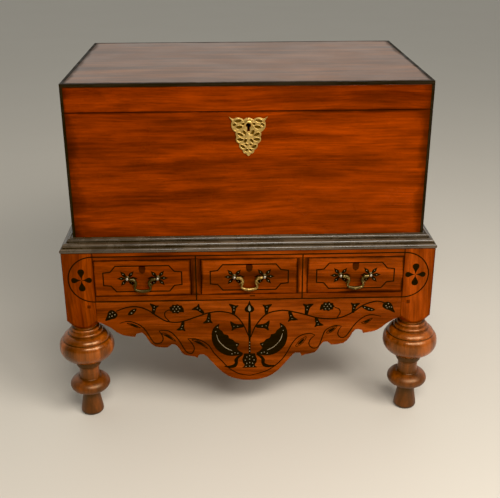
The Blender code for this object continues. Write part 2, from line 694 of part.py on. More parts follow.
def hinges(swing):
    half = HINGE_LENGTH / 2
    inner = KNUCKLE_MIDDLE / 2
    outer = inner + JOINT_GAP
    for side, x in (("left", -HINGE_SPACING / 2), ("right", HINGE_SPACING / 2)):
        hinge_leaf("hinge_leaf_" + side, x, -1, ((-half, -outer), (outer, half)))
        hinge_leaf("lid_leaf_" + side, x, 1, ((-inner, inner),), swing)
        part("hinge_pin_" + side, rod(HINGE_PIN_RADIUS, HINGE_LENGTH), BRASS, (x, HINGE_Y, HINGE_Z))


def lock(swing):
    """Box lock behind the keyhole, its bolt, and the staple on the lid that the bolt passes through."""
    half = LOCK_WIDTH / 2
    bottom = LOCK_TOP - LOCK_HEIGHT
    inner_back = LOCK_Y + LOCK_DEPTH - LOCK_PLATE
    open_front = LOCK_Y - CUT_MARGIN
    case = board("lock_case", (-half, LOCK_Y, bottom), (half, LOCK_Y + LOCK_DEPTH, LOCK_TOP), IRON)
    hollow = half - LOCK_PLATE
    channel = block("bolt_channel", (-hollow, open_front, CHANNEL_BOTTOM), (hollow, inner_back, CHANNEL_TOP))
    chamber = block("key_chamber", (-hollow, open_front, bottom + LOCK_PLATE),
                    (hollow, inner_back, CHANNEL_BOTTOM - LOCK_PLATE))
    key_way = block("key_way", (-KEY_GAP / 2, open_front, bottom + 2 * LOCK_PLATE),
                    (KEY_GAP / 2, inner_back, CHANNEL_TOP - LOCK_PLATE / 2))
    slot_half = STAPLE / 2 + STAPLE_PLAY
    mouth = block("staple_mouth", (-slot_half, open_front, CHANNEL_TOP - LOCK_PLATE),
                  (slot_half, LINK_Y + LINK_PLATE + STAPLE_DEPTH + STAPLE_PLAY, LOCK_TOP + CUT_MARGIN))
    combine(case, "DIFFERENCE", channel, chamber, key_way, mouth)
    bolt_end = -STAPLE / 2 - BOLT_SETBACK
    bolt_bottom = CHANNEL_BOTTOM + RUNNING_GAP
    board("lock_bolt", (bolt_end - BOLT_LENGTH, STAPLE_Y - BOLT_DEPTH / 2, bolt_bottom),
          (bolt_end, STAPLE_Y + BOLT_DEPTH / 2, bolt_bottom + BOLT_HEIGHT), IRON)
    link_half = LINK_WIDTH / 2
    link = board("lock_link", (-link_half, LINK_Y, LID_Z),
                 (link_half, LINK_Y + LINK_PLATE, LID_Z + LINK_HEIGHT), IRON, swing)
    staple = block("staple", (-STAPLE / 2, LINK_Y + LINK_PLATE / 2, LID_Z - STAPLE_REACH),
                   (STAPLE / 2, LINK_Y + LINK_PLATE + STAPLE_DEPTH, LID_Z + LINK_HEIGHT / 3))
    eye_size = (STAPLE + 2 * CUT_MARGIN, BOLT_DEPTH + 2 * STAPLE_PLAY, BOLT_HEIGHT + 2 * STAPLE_PLAY)
    eye = helper("staple_eye", cuboid(eye_size), (0, STAPLE_Y, bolt_bottom + BOLT_HEIGHT / 2))
    combine(link, "UNION", staple)
    combine(link, "DIFFERENCE", eye)


def scutcheon():
    """Pierced and lobed brass plate round the keyhole."""
    half_width = SCUTCHEON_WIDTH / 2
    right = [(0.0, 0.0)]
    for across, up, bulge in SCUTCHEON_RIM:
        right += arc(right[-1], (half_width * across, SCUTCHEON_HEIGHT * up), bulge)
    left = [(-x, y) for x, y in reversed(right[1:-1])]
    loops = [right + left]
    for across, up, length, breadth, tilt in SCUTCHEON_HOLES:
        angle = math.radians(tilt)
        rim = ellipse((0, 0), length * SCUTCHEON_HEIGHT, breadth * SCUTCHEON_HEIGHT, 360, 45, 7)
        hole = [(half_width * across + x * math.cos(angle) - y * math.sin(angle),
                 SCUTCHEON_HEIGHT * up + x * math.sin(angle) + y * math.cos(angle)) for x, y in rim]
        loops += [hole, [(-x, y) for x, y in reversed(hole)]]
    eye_z = SCUTCHEON_HEIGHT - SCUTCHEON_RISE
    slot = KEYHOLE_SLOT / 2
    throat = math.degrees(math.asin(slot / KEYHOLE_RADIUS))
    eye = ellipse((0, eye_z), KEYHOLE_RADIUS, KEYHOLE_RADIUS, 270 - throat, throat - 90, 9)
    loops.append(eye + [(slot, eye_z - KEYHOLE_LENGTH), (-slot, eye_z - KEYHOLE_LENGTH)])
    foot = KEYHOLE_Z - eye_z
    middle_y = CHEST_FRONT - JOINT_GAP - SCUTCHEON_PLATE / 2
    flat = [[(x, y, True) for x, y in loop] for loop in loops]
    part("escutcheon", sheet(flat, SCUTCHEON_PLATE, 1), BRASS, (0, middle_y, foot), (math.pi / 2, 0, 0))


def drawer(side, middle):
    """One drawer: front with holes for the handle posts, glued sides and back, and a nailed bottom."""
    half = OPENING_WIDTH / 2 - DRAWER_GAP
    low, high = middle - half, middle + half
    bottom = OPENING_BOTTOM + DRAWER_GAP
    top = OPENING_TOP - DRAWER_GAP
    front_back = -STAND_Y + DRAWER_FRONT
    end = -STAND_Y + DRAWER_LENGTH
    front = board(f"drawer_{side}_front", (low, -STAND_Y, bottom), (high, front_back, top), STAND_WOOD)
    for number, x in enumerate((-HANDLE_SPACING / 2, HANDLE_SPACING / 2)):
        shaft = rod(SHANK_RADIUS + RUNNING_GAP, DRAWER_FRONT + 2 * CUT_MARGIN)
        hole = helper(f"post_hole_{side}_{number}", shaft,
                      (middle + x, -STAND_Y + DRAWER_FRONT / 2, HANDLE_Z), (0, 0, math.pi / 2))
        combine(front, "DIFFERENCE", hole)
    start = front_back + JOINT_GAP
    board(f"drawer_{side}_bottom", (low, start, bottom), (high, end, bottom + DRAWER_BOTTOM), INNER_WOOD)
    sides_bottom = bottom + DRAWER_BOTTOM + JOINT_GAP
    sides_top = top - DRAWER_HEADROOM
    box = board(f"drawer_{side}_box", (low, start, sides_bottom), (high, end, sides_top), INNER_WOOD)
    hollow = block(f"drawer_hollow_{side}",
                   (low + DRAWER_SIDE, start - CUT_MARGIN, sides_bottom - CUT_MARGIN),
                   (high - DRAWER_SIDE, end - DRAWER_SIDE, sides_top + CUT_MARGIN))
    combine(box, "DIFFERENCE", hollow)


def post_mesh():
    """Riveted handle post along Z, ball head at the top, with a cross hole for the bail."""
    face = -HANDLE_REACH + JOINT_GAP
    inside = -HANDLE_REACH - DRAWER_FRONT - JOINT_GAP
    profile = ellipse((0, 0), BALL_HEAD, BALL_HEAD, 90, -42, 5)
    profile[0] = (0, BALL_HEAD)
    profile += [(HEAD_NECK, face + ROSE_THICKNESS), (ROSE_RADIUS, face + ROSE_THICKNESS / 2),
                (ROSE_RADIUS, face), (SHANK_RADIUS, face), (SHANK_RADIUS, inside), (RIVET_RADIUS, inside),
                (RIVET_CROWN, inside - RIVET_HEIGHT), (0, inside - RIVET_HEIGHT)]
    post = helper("post", turned(profile, SMALL_STEPS))
    hole = helper("post_eye", rod(BAIL_PIN + RUNNING_GAP, 2 * BALL_HEAD + CUT_MARGIN))
    return baked(combine(post, "DIFFERENCE", hole))


def bail_mesh():
    """Swan-neck bail hanging below its pivots on X, with thin ends that turn in the posts."""
    half = HANDLE_SPACING / 2
    wide = BAIL_WIDTH / 2
    pin = BAIL_PIN / BAIL_RADIUS
    ear = half - BALL_HEAD - 2 * RUNNING_GAP
    right = (
        (half - BALL_HEAD / 2, 0, pin), (ear, 0, pin), (ear - 0.06 * half, -0.01 * BAIL_DROP, 0.95),
        (0.60 * half, -0.05 * BAIL_DROP, 1.1), (0.46 * half, -0.18 * BAIL_DROP, 0.95),
        (0.42 * half, -0.36 * BAIL_DROP, 0.8), (0.93 * wide, -0.56 * BAIL_DROP, 0.8),
        (wide, -0.72 * BAIL_DROP, 0.8), (0.86 * wide, -0.86 * BAIL_DROP, 0.9),
        (0.50 * wide, -0.96 * BAIL_DROP, 1.05),
    )
    points = [(-x, z, r) for x, z, r in right] + [(0, -BAIL_DROP, 1.1)] + list(reversed(right))
    curve = bpy.data.curves.new("bail", "CURVE")
    curve.dimensions = "3D"
    curve.bevel_depth = BAIL_RADIUS
    curve.bevel_resolution = 2
    curve.use_fill_caps = True
    spline = curve.splines.new("POLY")
    spline.points.add(len(points) - 1)
    for point, (x, z, radius) in zip(spline.points, points):
        point.co = (x, 0, z, 1)
        point.radius = radius
    return baked(helper("bail", curve))


def handles():
    post, bail = post_mesh(), bail_mesh()
    for side, middle in DRAWER_PLACES:
        for end, x in (("a", -HANDLE_SPACING / 2), ("b", HANDLE_SPACING / 2)):
            part(f"handle_{side}_post_{end}", post.copy(), BRASS, (middle + x, HANDLE_Y, HANDLE_Z),
                 (math.pi / 2, 0, 0))
        part(f"handle_{side}_bail", bail.copy(), BRASS, (middle, HANDLE_Y, HANDLE_Z))


DRAWER_PLACES = (("left", -OPENING_PITCH), ("middle", 0.0), ("right", OPENING_PITCH))

legs()
apron()
stand_rails()
stand_sides()
mouldings()
chest_walls()
lid_swing = pivot("lid_swing", (0, HINGE_Y, HINGE_Z))
lid_boards(lid_swing)
hinges(lid_swing)
lock(lid_swing)
scutcheon()
for drawer_side, drawer_middle in DRAWER_PLACES:
    drawer(drawer_side, drawer_middle)
handles()
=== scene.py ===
"""Looks of the marriage chest on its stand: turned legs, mouldings, brasses, marquetry and finishes.

Metres, +Z up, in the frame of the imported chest. The front faces -Y. Outlines are drawn in millimetres.
"""

import json
import math

import bmesh
import bpy
from mathutils import Euler, Matrix, Vector


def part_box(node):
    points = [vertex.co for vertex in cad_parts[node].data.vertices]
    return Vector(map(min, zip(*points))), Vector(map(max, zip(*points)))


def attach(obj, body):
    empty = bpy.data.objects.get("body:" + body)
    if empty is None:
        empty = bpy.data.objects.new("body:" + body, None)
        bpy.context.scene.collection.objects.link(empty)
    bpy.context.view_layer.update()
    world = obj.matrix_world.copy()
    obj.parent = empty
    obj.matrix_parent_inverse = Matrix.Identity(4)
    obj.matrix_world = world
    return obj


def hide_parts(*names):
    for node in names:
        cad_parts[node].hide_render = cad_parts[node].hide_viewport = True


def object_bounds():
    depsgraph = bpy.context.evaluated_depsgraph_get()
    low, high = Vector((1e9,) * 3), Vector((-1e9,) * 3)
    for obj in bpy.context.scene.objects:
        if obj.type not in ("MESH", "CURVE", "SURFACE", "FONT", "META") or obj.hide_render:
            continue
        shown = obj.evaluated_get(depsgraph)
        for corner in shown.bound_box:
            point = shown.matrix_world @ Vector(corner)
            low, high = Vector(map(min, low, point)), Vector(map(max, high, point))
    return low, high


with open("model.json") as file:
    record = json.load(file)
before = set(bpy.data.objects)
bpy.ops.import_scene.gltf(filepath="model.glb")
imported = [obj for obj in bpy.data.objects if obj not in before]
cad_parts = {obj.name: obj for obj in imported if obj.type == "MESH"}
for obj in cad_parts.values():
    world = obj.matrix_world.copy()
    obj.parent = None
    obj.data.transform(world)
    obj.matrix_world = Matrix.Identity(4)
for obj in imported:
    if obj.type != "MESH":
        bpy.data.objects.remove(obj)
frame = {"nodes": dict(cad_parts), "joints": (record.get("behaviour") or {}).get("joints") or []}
CAD_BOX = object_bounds()

bl_info = {
    "name": "Marriage chest looks",
    "version": (1, 0, 0),
    "blender": (4, 5, 0),
    "location": "3D View > Sidebar > Chest",
    "description": "Dresses the packed marriage chest with turnings, brasses, marquetry and finishes",
    "category": "Object",
}

MM = 0.001
SIDES = (("left", -1), ("right", 1))
DRAWERS = ("left", "middle", "right")

# Points what was turned about Z out of the front
FORWARD = Matrix.Rotation(math.pi / 2, 4, "X")

# Faces and places of the frame
STAND_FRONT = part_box("apron_front")[0].y
DRAWER_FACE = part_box("drawer_middle_front")[0].y
CHEST_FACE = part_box("chest_front")[0].y
LEG_LOW, LEG_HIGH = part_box("leg_back_right")
LEG_PLACE = (LEG_LOW + LEG_HIGH) / 2
POST_HALF = -STAND_FRONT - LEG_PLACE.y


def joint_place(name):
    """A hinge's pivot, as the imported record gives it."""
    for joint in frame["joints"]:
        if joint["name"] == name:
            return Vector(joint["pos_m"])
    raise KeyError(name)


def colour(label, words, default):
    """A colour setting."""
    return bpy.props.FloatVectorProperty(
        name=label, description=words, subtype="COLOR", size=3, min=0.0, max=1.0, default=default)


def number(label, words, default, **limits):
    """A setting of one number."""
    return bpy.props.FloatProperty(name=label, description=words, default=default, **limits)


def share(label, words, default, highest=1.0):
    """A setting without a unit."""
    return number(label, words, default, subtype="FACTOR", min=0.0, max=highest)


def length(label, words, default):
    """A length in metres."""
    return number(label, words, default, subtype="DISTANCE", unit="LENGTH", min=0.0, precision=4)


def power(label, words, default):
    """A lamp's power in watts."""
    return number(label, words, default, subtype="POWER", unit="POWER", min=0.0)


def angle(label, words, default):
    """An angle in radians."""
    return number(label, words, default, subtype="ANGLE", unit="ROTATION")


class WoodSettings(bpy.types.PropertyGroup):
    """Colours and wear of the woods."""
    chest_light: colour("Chest light", "Light streaks of the chest's boards", (0.232, 0.0285, 0.0012))
    chest_dark: colour("Chest dark", "Dark streaks of the chest's boards", (0.080, 0.0088, 0.0004))
    top_light: colour("Lid light", "Light streaks of the lid's bleached top", (0.190, 0.068, 0.0155))
    top_dark: colour("Lid dark", "Dark streaks of the lid's bleached top", (0.085, 0.0290, 0.0065))
    stand_light: colour("Stand light", "Light streaks of the stand's front", (0.255, 0.0400, 0.0026))
    stand_dark: colour("Stand dark", "Dark streaks of the stand's front", (0.086, 0.0095, 0.0004))
    apron_light: colour("Apron light", "Light streaks of the apron", (0.282, 0.0500, 0.0046))
    apron_dark: colour("Apron dark", "Dark streaks of the apron", (0.102, 0.0130, 0.0009))
    leg_light: colour("Turnings light", "Light streaks of the turned legs", (0.345, 0.080, 0.0104))
    leg_dark: colour("Turnings dark", "Dark streaks of the turned legs", (0.093, 0.0186, 0.0020))
    leg_warmth: colour("Turnings warmth", "Tint of the turned legs' reflections", (1.0, 0.66, 0.38))
    inner_light: colour("Inside light", "Light streaks of the hidden boards", (0.360, 0.180, 0.075))
    inner_dark: colour("Inside dark", "Dark streaks of the hidden boards", (0.180, 0.075, 0.028))
    # These tint the dark sheet behind the brass plate: painted shade in its piercings, with smudges.
    dirt_light: colour("Dirt light", "Light streaks of dirt behind the brass plate", (0.115, 0.058, 0.008))
    dirt_dark: colour("Dirt dark", "Dark streaks of dirt behind the brass plate", (0.045, 0.021, 0.003))
    ebony: colour("Black wood", "Black mouldings, edgings and inlay", (0.0060, 0.0037, 0.0022))
    ebony_worn: colour("Worn black", "Black wood where it is rubbed brown", (0.135, 0.094, 0.0560))
    bone: colour("Dots", "Pale dots and veins of the inlay", (0.270, 0.205, 0.125))
    worn_edge: length("Worn edge", "Width of the rounding along the boards' edges", 0.0007)
    polish: share("Polish", "Roughness of the polished woods", 0.30)


class MetalSettings(bpy.types.PropertyGroup):
    """Colours of the metals."""
    brass: colour("Brass", "Clean brass", (0.640, 0.430, 0.138))
    tarnish: colour("Tarnish", "Brass in its hollows", (0.150, 0.085, 0.026))
    silvered: colour("Silvered", "Heads of the posts", (0.40, 0.35, 0.27))
    oxide: colour("Oxide", "Brass that has gone dark all over", (0.024, 0.018, 0.011))
    iron: colour("Iron", "Lock and bolt", (0.13, 0.12, 0.11))
    rust: colour("Rust", "Rusty spots of the lock and bolt", (0.10, 0.045, 0.02))


class InlaySettings(bpy.types.PropertyGroup):
    """Sizes of the marquetry."""
    lift: length("Lift", "How far the inlay stands out of the wood", 0.0002)
    sink: length("Sink", "How deep the inlay is let in", 0.0006)
    line: length("Line", "Width of the stringing", 0.0032)
    scroll: length("Scroll line", "Width of the scroll along the apron's edge", 0.0029)
    vine: length("Vine", "Width of the vine's stem", 0.0037)
    slip: length("Slip", "Width of the line round a slip", 0.0016)
    vein: length("Vein", "Width of the vein of a plume", 0.0018)
    dot: length("Dot", "Radius of a pale dot", 0.0015)


class StageSettings(bpy.types.PropertyGroup):
    """Floor, light and camera."""
    floor: colour("Floor", "Plain pale floor", (0.64, 0.60, 0.53))
    cloud: colour("Clouds", "Faint clouds of the floor", (0.57, 0.52, 0.45))
    floor_reach: length("Floor reach", "Radius of the floor", 40.0)
    sky: colour("Room", "Soft light from all round", (0.93, 0.93, 0.89))
    sky_front: share("Room in front", "Strength of the room's light before the chest", 0.14, 10.0)
    sky_back: share("Room behind", "Strength of the room's light behind the chest", 0.70, 10.0)
    lamp: colour("Lamps", "Tint of the soft lights", (1.0, 0.94, 0.86))
    key_power: power("Key power", "Power of the large soft light on the right", 88.0)
    top_power: power("Top power", "Power of the soft light overhead", 66.0)
    shade: colour("Deepest shade", "Tint of the haze taken off the picture", (0.002, 0.003, 0.0055))
    camera_place: bpy.props.FloatVectorProperty(
        name="Camera", description="Place of the camera", subtype="TRANSLATION", unit="LENGTH", size=3,
        default=(-0.0566, -2.2874, 1.3403))
    camera_pitch: angle("Pitch", "How far the camera looks down", 0.4012)
    camera_yaw: angle("Yaw", "How far the camera looks to the right", 0.0298)
    camera_roll: angle("Roll", "How far the camera leans to the right", 0.0035)
    lens: number("Lens", "Focal length in millimetres", 59.63, subtype="DISTANCE_CAMERA", unit="CAMERA")


class Finish:
    """Nodes of a material or a world that are being put together round its shader."""

    def __init__(self, made, shader="Principled BSDF"):
        made.use_nodes = True
        self.tree = made.node_tree
        self.shader = self.tree.nodes[shader]

    def add(self, kind, inputs, **settings):
        """Outputs of a new node with its settings and inputs, each a value or another node's output."""
        node = self.tree.nodes.new("ShaderNode" + kind)
        for name, value in settings.items():
            setattr(node, name, value)
        for name, value in inputs.items():
            self.plug(node, name, value)
        return node.outputs

    def plug(self, node, name, value):
        if isinstance(value, bpy.types.NodeSocket):
            self.tree.links.new(value, node.inputs[name])
        else:
            node.inputs[name].default_value = value

    def set(self, **inputs):
        """Sets or links sockets of the shader, with _ for each space in a name."""
        for name, value in inputs.items():
            self.plug(self.shader, name.replace("_", " "), value)

    def place(self):
        return self.add("TexCoord", {})["Object"]

    def noise(self, vector, scale, detail=2.0, roughness=0.5, output="Fac"):
        inputs = {"Vector": vector, "Scale": scale, "Detail": detail, "Roughness": roughness}
        return self.add("TexNoise", inputs)[output]

    def vector(self, operation, first, second):
        return self.add("VectorMath", {0: first, 1: second}, operation=operation)[0]

    def stretch(self, vector, scale):
        return self.vector("MULTIPLY", vector, scale)

    def drawn_out(self, vector, along, across, detail, roughness=0.5):
        """Noise that is drawn out along X."""
        return self.noise(self.stretch(vector, (along, across, across)), 1.0, detail, roughness)

    def maths(self, operation, first, second):
        return self.add("Math", {0: first, 1: second}, operation=operation)[0]

    def times(self, product, *factors):
        for factor in factors:
            product = self.maths("MULTIPLY", product, factor)
        return product

    def span(self, value, low, high, to_low, to_high, ease="SMOOTHSTEP"):
        """Maps a value from one range to another, held at the ends."""
        inputs = {"Value": value, "From Min": low, "From Max": high, "To Min": to_low, "To Max": to_high}
        return self.add("MapRange", inputs, interpolation_type=ease)[0]

    def scaled(self, tint, factor):
        return self.add("VectorMath", {0: tint, "Scale": factor}, operation="SCALE")[0]

    def mixed(self, factor, first, second):
        inputs = {0: factor}
        for socket, tint in ((6, first), (7, second)):
            inputs[socket] = tint if isinstance(tint, bpy.types.NodeSocket) else (*tint, 1.0)
        return self.add("Mix", inputs, data_type="RGBA")[2]

    def ramp(self, value, stops):
        """Tints from a value, through stops of position and tint."""
        node = self.tree.nodes.new("ShaderNodeValToRGB")
        self.plug(node, 0, value)
        marks = node.color_ramp.elements
        marks[0].position = stops[0][0]
        marks[1].position = stops[-1][0]
        for position, _ in stops[1:-1]:
            marks.new(position)
        for mark, (_, tint) in zip(marks, stops):
            mark.color = (*tint, 1.0)
        return node.outputs[0]

    def hollows(self, reach, darkest):
        """A factor that falls in grooves and corners: painted shade on turned wood, patina on brass."""
        open_sky = self.add("AmbientOcclusion", {"Distance": reach}, samples=4)["AO"]
        return self.span(open_sky, 0.30, 0.92, darkest, 1.0)

    def uneven(self, away, place, scale, nearest, farthest, start, darkest):
        """A factor that rises with a distance, from its darkest, over a reach that noise makes uneven."""
        reach = self.span(self.noise(place, scale, 4.0, 0.6), 0.3, 0.7, nearest, farthest)
        return self.span(self.maths("DIVIDE", away, reach), start, 1.0, darkest, 1.0)

    def soiled_and_shaded(self, box, reach, darkest, squeeze):
        """A factor that falls unevenly towards the edges of a board, over less of it where squeezed: dirty
        edges, and painted shade where boards meet.
        """
        low, high = box
        place = self.place()
        away = self.vector("ABSOLUTE", self.vector("SUBTRACT", place, (low + high) / 2), (0, 0, 0))
        inside = self.stretch(self.vector("SUBTRACT", (high - low) / 2, away), squeeze)
        inside = self.add("SeparateXYZ", {0: inside})
        nearer = self.maths("MINIMUM", inside[0], inside[1])
        farther = self.maths("MAXIMUM", inside[0], inside[1])
        edge = self.maths("MAXIMUM", nearer, self.maths("MINIMUM", farther, inside[2]))
        return self.uneven(edge, place, 11.0, 0.25 * reach, 1.9 * reach, 0.0, darkest)

    def shaded_foot(self, reach, darkest, ring, spread):
        """Painted shade: a factor that falls towards the floor, and round the ring under a leg's bulb."""
        height = self.add("SeparateXYZ", {0: self.place()})[2]
        away = self.maths("ABSOLUTE", self.maths("SUBTRACT", height, ring), 0.0)
        floor = self.span(height, 0.3 * reach, reach, darkest, 1.0)
        return self.times(floor, self.span(away, 0.4 * spread, spread, 0.3, 1.0))

    def darkened_round(self, spot, reach, darkest):
        """A factor that falls unevenly round a place."""
        place = self.place()
        away = self.stretch(self.vector("SUBTRACT", place, spot), (1.0, 0.0, 1.8))
        far = self.add("VectorMath", {0: away}, operation="LENGTH")["Value"]
        return self.uneven(far, place, 30.0, 0.5 * reach, 1.5 * reach, 0.2, darkest)

    def bump(self, height, depth, strength):
        return self.add("Bump", {"Height": height, "Distance": depth, "Strength": strength})[0]


def once(make):
    """Makes each finish once. A later call with the same name gets the one that is there."""
    def get(name, *values, **others):
        made = bpy.data.materials.get(name)
        if made is None:
            made = bpy.data.materials.new(name)
            make(Finish(made), *values, **others)
        return made
    return get


GRAIN_TURN = {"X": (0.0, 0.0, 0.0), "Y": (0.0, 0.0, -math.pi / 2), "Z": (0.0, math.pi / 2, 0.0)}

# Sends each board to a part of the noise that is its own, by a multiple of its place
FIGURE_SHIFT = 3.7


@once
def wood(finish, tints, grain, box, dirt_and_shade_reach, figure=(1.3, 22.0), roughness=0.30, gloss=0.08, patchy=0.3,
         squeeze=(1, 1, 1), handle=None, warmth=(1, 1, 1), darkest_dirt_and_shade=0.30):
    """Polished wood with streaks, fine grain and pores along one axis.

    soil is the reach of the darkening along the edges of the box, partly dirty wood and partly painted
    shade, and none on a turned piece.
    figure gives the streaks' scale along and across the grain.
    patchy is the share by which the polish differs from place to place.
    handle is the place of a handle, with wood darkened round it. warmth tints the reflections.
    grime is the share of its colour that is left at the edges, darkened by smudges and painted shade.
    """
    light, dark = tints
    middle = (light + dark) / 2
    along, across = figure
    shift = FIGURE_SHIFT * (box[0] + box[1])
    turn = GRAIN_TURN[grain]
    plank = finish.add("Mapping", {"Vector": finish.place(), "Rotation": turn, "Location": shift})[0]
    bend = finish.vector("SUBTRACT", finish.noise(plank, 1.8, output="Color"), (0.5, 0.5, 0.5))
    flow = finish.vector("ADD", plank, finish.stretch(bend, (0.10, 0.06, 0.06)))
    streak = finish.drawn_out(flow, along, across, 8.0, 0.62)
    bands = finish.drawn_out(flow, 0.8 * along, 0.42 * across, 3.0)
    mottle = finish.drawn_out(flow, 4.5 * along, 1.4 * across, 5.0, 0.6)
    lines = finish.drawn_out(flow, 5.0, 190.0, 3.0, 0.6)
    pores = finish.drawn_out(flow, 45.0, 1300.0, 1.0)
    tint = finish.ramp(streak, ((0.30, dark), (0.46, middle), (0.60, light), (0.78, middle)))
    shade = finish.times(
        finish.span(lines, 0.3, 0.7, 0.74, 1.16), finish.span(bands, 0.54, 0.70, 1.0, 0.58),
        finish.span(mottle, 0.3, 0.7, 0.70, 1.22), finish.span(pores, 0.60, 0.74, 1.0, 0.66))
    if dirt_and_shade_reach:
        # Dirty edges, with painted shade where boards meet.
        dirt = finish.soiled_and_shaded(box, dirt_and_shade_reach, darkest_dirt_and_shade, squeeze)
    else:
        # Painted shade on turned wood, in its hollows, towards the floor and round the ring under the bulb.
        foot = finish.shaded_foot(reach=0.20, darkest=0.38, ring=0.165, spread=0.018)
        dirt = finish.times(finish.hollows(reach=0.026, darkest=0.07), foot)
    if handle:
        # Darker round the handle.
        dirt = finish.times(dirt, finish.darkened_round(handle, reach=0.056, darkest=0.70))
    rubbed = finish.noise(plank, 9.0, 4.0)
    polished = finish.span(rubbed, 0.3, 0.7, roughness * (1 - patchy), roughness * (1 + patchy))
    height = finish.times(lines, finish.span(pores, 0.58, 0.74, 1.0, 0.0))
    finish.set(
        Base_Color=finish.scaled(tint, finish.times(shade, dirt)),
        Roughness=finish.maths("ADD", polished, finish.span(dirt, 0.1, 0.9, 0.3, 0.0)),
        Specular_IOR_Level=gloss,
        Specular_Tint=(*warmth, 1.0),
        Normal=finish.bump(height, depth=0.0004, strength=0.14))


# What sets each kind of board apart from plain polished wood
KINDS = {
    "chest": {"dirt_and_shade_reach": 0.014, "squeeze": (1, 1, 8)},
    "top": {"dirt_and_shade_reach": 0.012, "figure": (1.2, 30.0), "gloss": 0.30, "patchy": 0.08},
    "stand": {"dirt_and_shade_reach": 0.0025, "figure": (1.8, 26.0)},
    "apron": {"dirt_and_shade_reach": 0.0025, "figure": (1.8, 26.0)},
    "leg": {"dirt_and_shade_reach": None, "figure": (3.0, 26.0), "roughness": 0.24, "gloss": 0.78},
    "inner": {"dirt_and_shade_reach": 0.006, "figure": (2.4, 20.0), "roughness": 0.62, "gloss": 0.25},
    # The dark patches' wood, among them the sheet of painted shade behind the keyhole plate.
    "dirt": {"dirt_and_shade_reach": 0.004, "figure": (4.0, 30.0)},
}


def woods():
    return bpy.context.scene.chest_woods


def tints_of(kind):
    """Light and dark streaks of a kind of board."""
    return [Vector(getattr(woods(), f"{kind}_{tone}")) for tone in ("light", "dark")]


def board(kind, name, grain, box=None, **changes):
    """Wood of one kind. The changes set this board apart from others of its kind."""
    looks = {"roughness": woods().polish, **KINDS[kind], **changes}
    return wood("wood_" + name, tints_of(kind), grain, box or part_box(name), **looks)


def dark_patch(name, kind, left=1.0):
    """Wood gone dark, as round a lock, and the dark sheet behind the keyhole plate, which paints shade and
    smudges into its piercings. left is the share of its kind's colour that is left.
    """
    return wood(name, [left * tint for tint in tints_of(kind)], "X", CAD_BOX, **KINDS["dirt"])


@once
def black_wood(finish, grain, gloss, roughness, rubbed_share, pitted=0.15):
    """Black wood with brown streaks where it is rubbed."""
    plank = finish.add("Mapping", {"Vector": finish.place(), "Rotation": GRAIN_TURN[grain]})[0]
    lines = finish.drawn_out(plank, 7.0, 300.0, 4.0, 0.6)
    rubbed = finish.noise(plank, 22.0, 4.0, 0.6)
    worn = finish.times(
        finish.span(lines, 0.38, 0.66, 0.3, 1.0), finish.span(rubbed, 0.35, 0.65, 0.6, 1.0), rubbed_share)
    finish.set(
        Base_Color=finish.mixed(worn, woods().ebony, woods().ebony_worn),
        Roughness=finish.span(rubbed, 0.3, 0.7, roughness * 0.7, roughness * 1.4),
        Specular_IOR_Level=gloss,
        Normal=finish.bump(lines, depth=0.0003, strength=pitted))


def black_inlay():
    return black_wood("black_inlay", "X", gloss=0.03, roughness=0.45, rubbed_share=0.04)


def black_strip(grain):
    return black_wood("black_strip_" + grain, grain, gloss=0.06, roughness=0.55, rubbed_share=0.10)


def black_moulding(grain):
    return black_wood(
        "black_moulding_" + grain, grain, gloss=0.55, roughness=0.26, rubbed_share=0.80, pitted=0.0)


@once
def bone(finish):
    """Pale dots and veins."""
    pale = Vector(woods().bone)
    stains = finish.noise(finish.place(), 160.0, 4.0, 0.6)
    finish.set(
        Base_Color=finish.mixed(finish.span(stains, 0.35, 0.7, 0.0, 1.0), pale, 0.45 * pale),
        Roughness=finish.span(stains, 0.3, 0.7, 0.30, 0.48),
        Specular_IOR_Level=0.25)


@once
def brass(finish, tarnished, oxidised=False, silvered=False):
    """Cast brass, dull in its hollows. tarnished is the share that has gone brown, or dark if oxidised."""
    own = bpy.context.scene.chest_metals
    place = finish.place()
    spots = finish.noise(place, 140.0, 5.0, 0.62)
    edge = 0.72 - 0.5 * tarnished
    dull = finish.span(spots, edge - 0.14, edge + 0.14, 0.0, 0.92)
    stain = own.oxide if oxidised else own.tarnish
    clean = own.silvered if silvered else own.brass
    clean = finish.mixed(finish.hollows(reach=0.0025, darkest=0.15), own.tarnish, clean)
    finish.set(
        Base_Color=finish.mixed(dull, clean, stain),
        Metallic=1.0,
        Roughness=finish.span(spots, 0.3, 0.75, 0.32, 0.54),
        Normal=finish.bump(finish.noise(place, 900.0, 3.0), depth=0.0002, strength=0.20))


@once
def iron(finish):
    """Dark forged iron."""
    own = bpy.context.scene.chest_metals
    scale = finish.noise(finish.place(), 210.0, 5.0, 0.65)
    finish.set(
        Base_Color=finish.mixed(finish.span(scale, 0.45, 0.72, 0.0, 0.8), own.iron, own.rust),
        Metallic=0.9,
        Roughness=finish.span(scale, 0.3, 0.7, 0.38, 0.62),
        Normal=finish.bump(scale, depth=0.0004, strength=0.35))


@once
def pale_floor(finish):
    """A plain floor with faint clouds."""
    own = bpy.context.scene.chest_stage
    faint = finish.noise(finish.place(), 1.3, 4.0)
    finish.set(
        Base_Color=finish.mixed(finish.span(faint, 0.3, 0.7, 0.0, 0.12), own.floor, own.cloud),
        Roughness=0.75)


def finished_mesh(name, shape, sharp):
    """A mesh of a closed shape, smooth but for edges sharper than an angle in degrees."""
    bmesh.ops.recalc_face_normals(shape, faces=shape.faces)
    mesh = bpy.data.meshes.new(name)
    shape.to_mesh(mesh)
    shape.free()
    mesh.shade_smooth()
    mesh.set_sharp_from_angle(angle=math.radians(sharp))
    return mesh


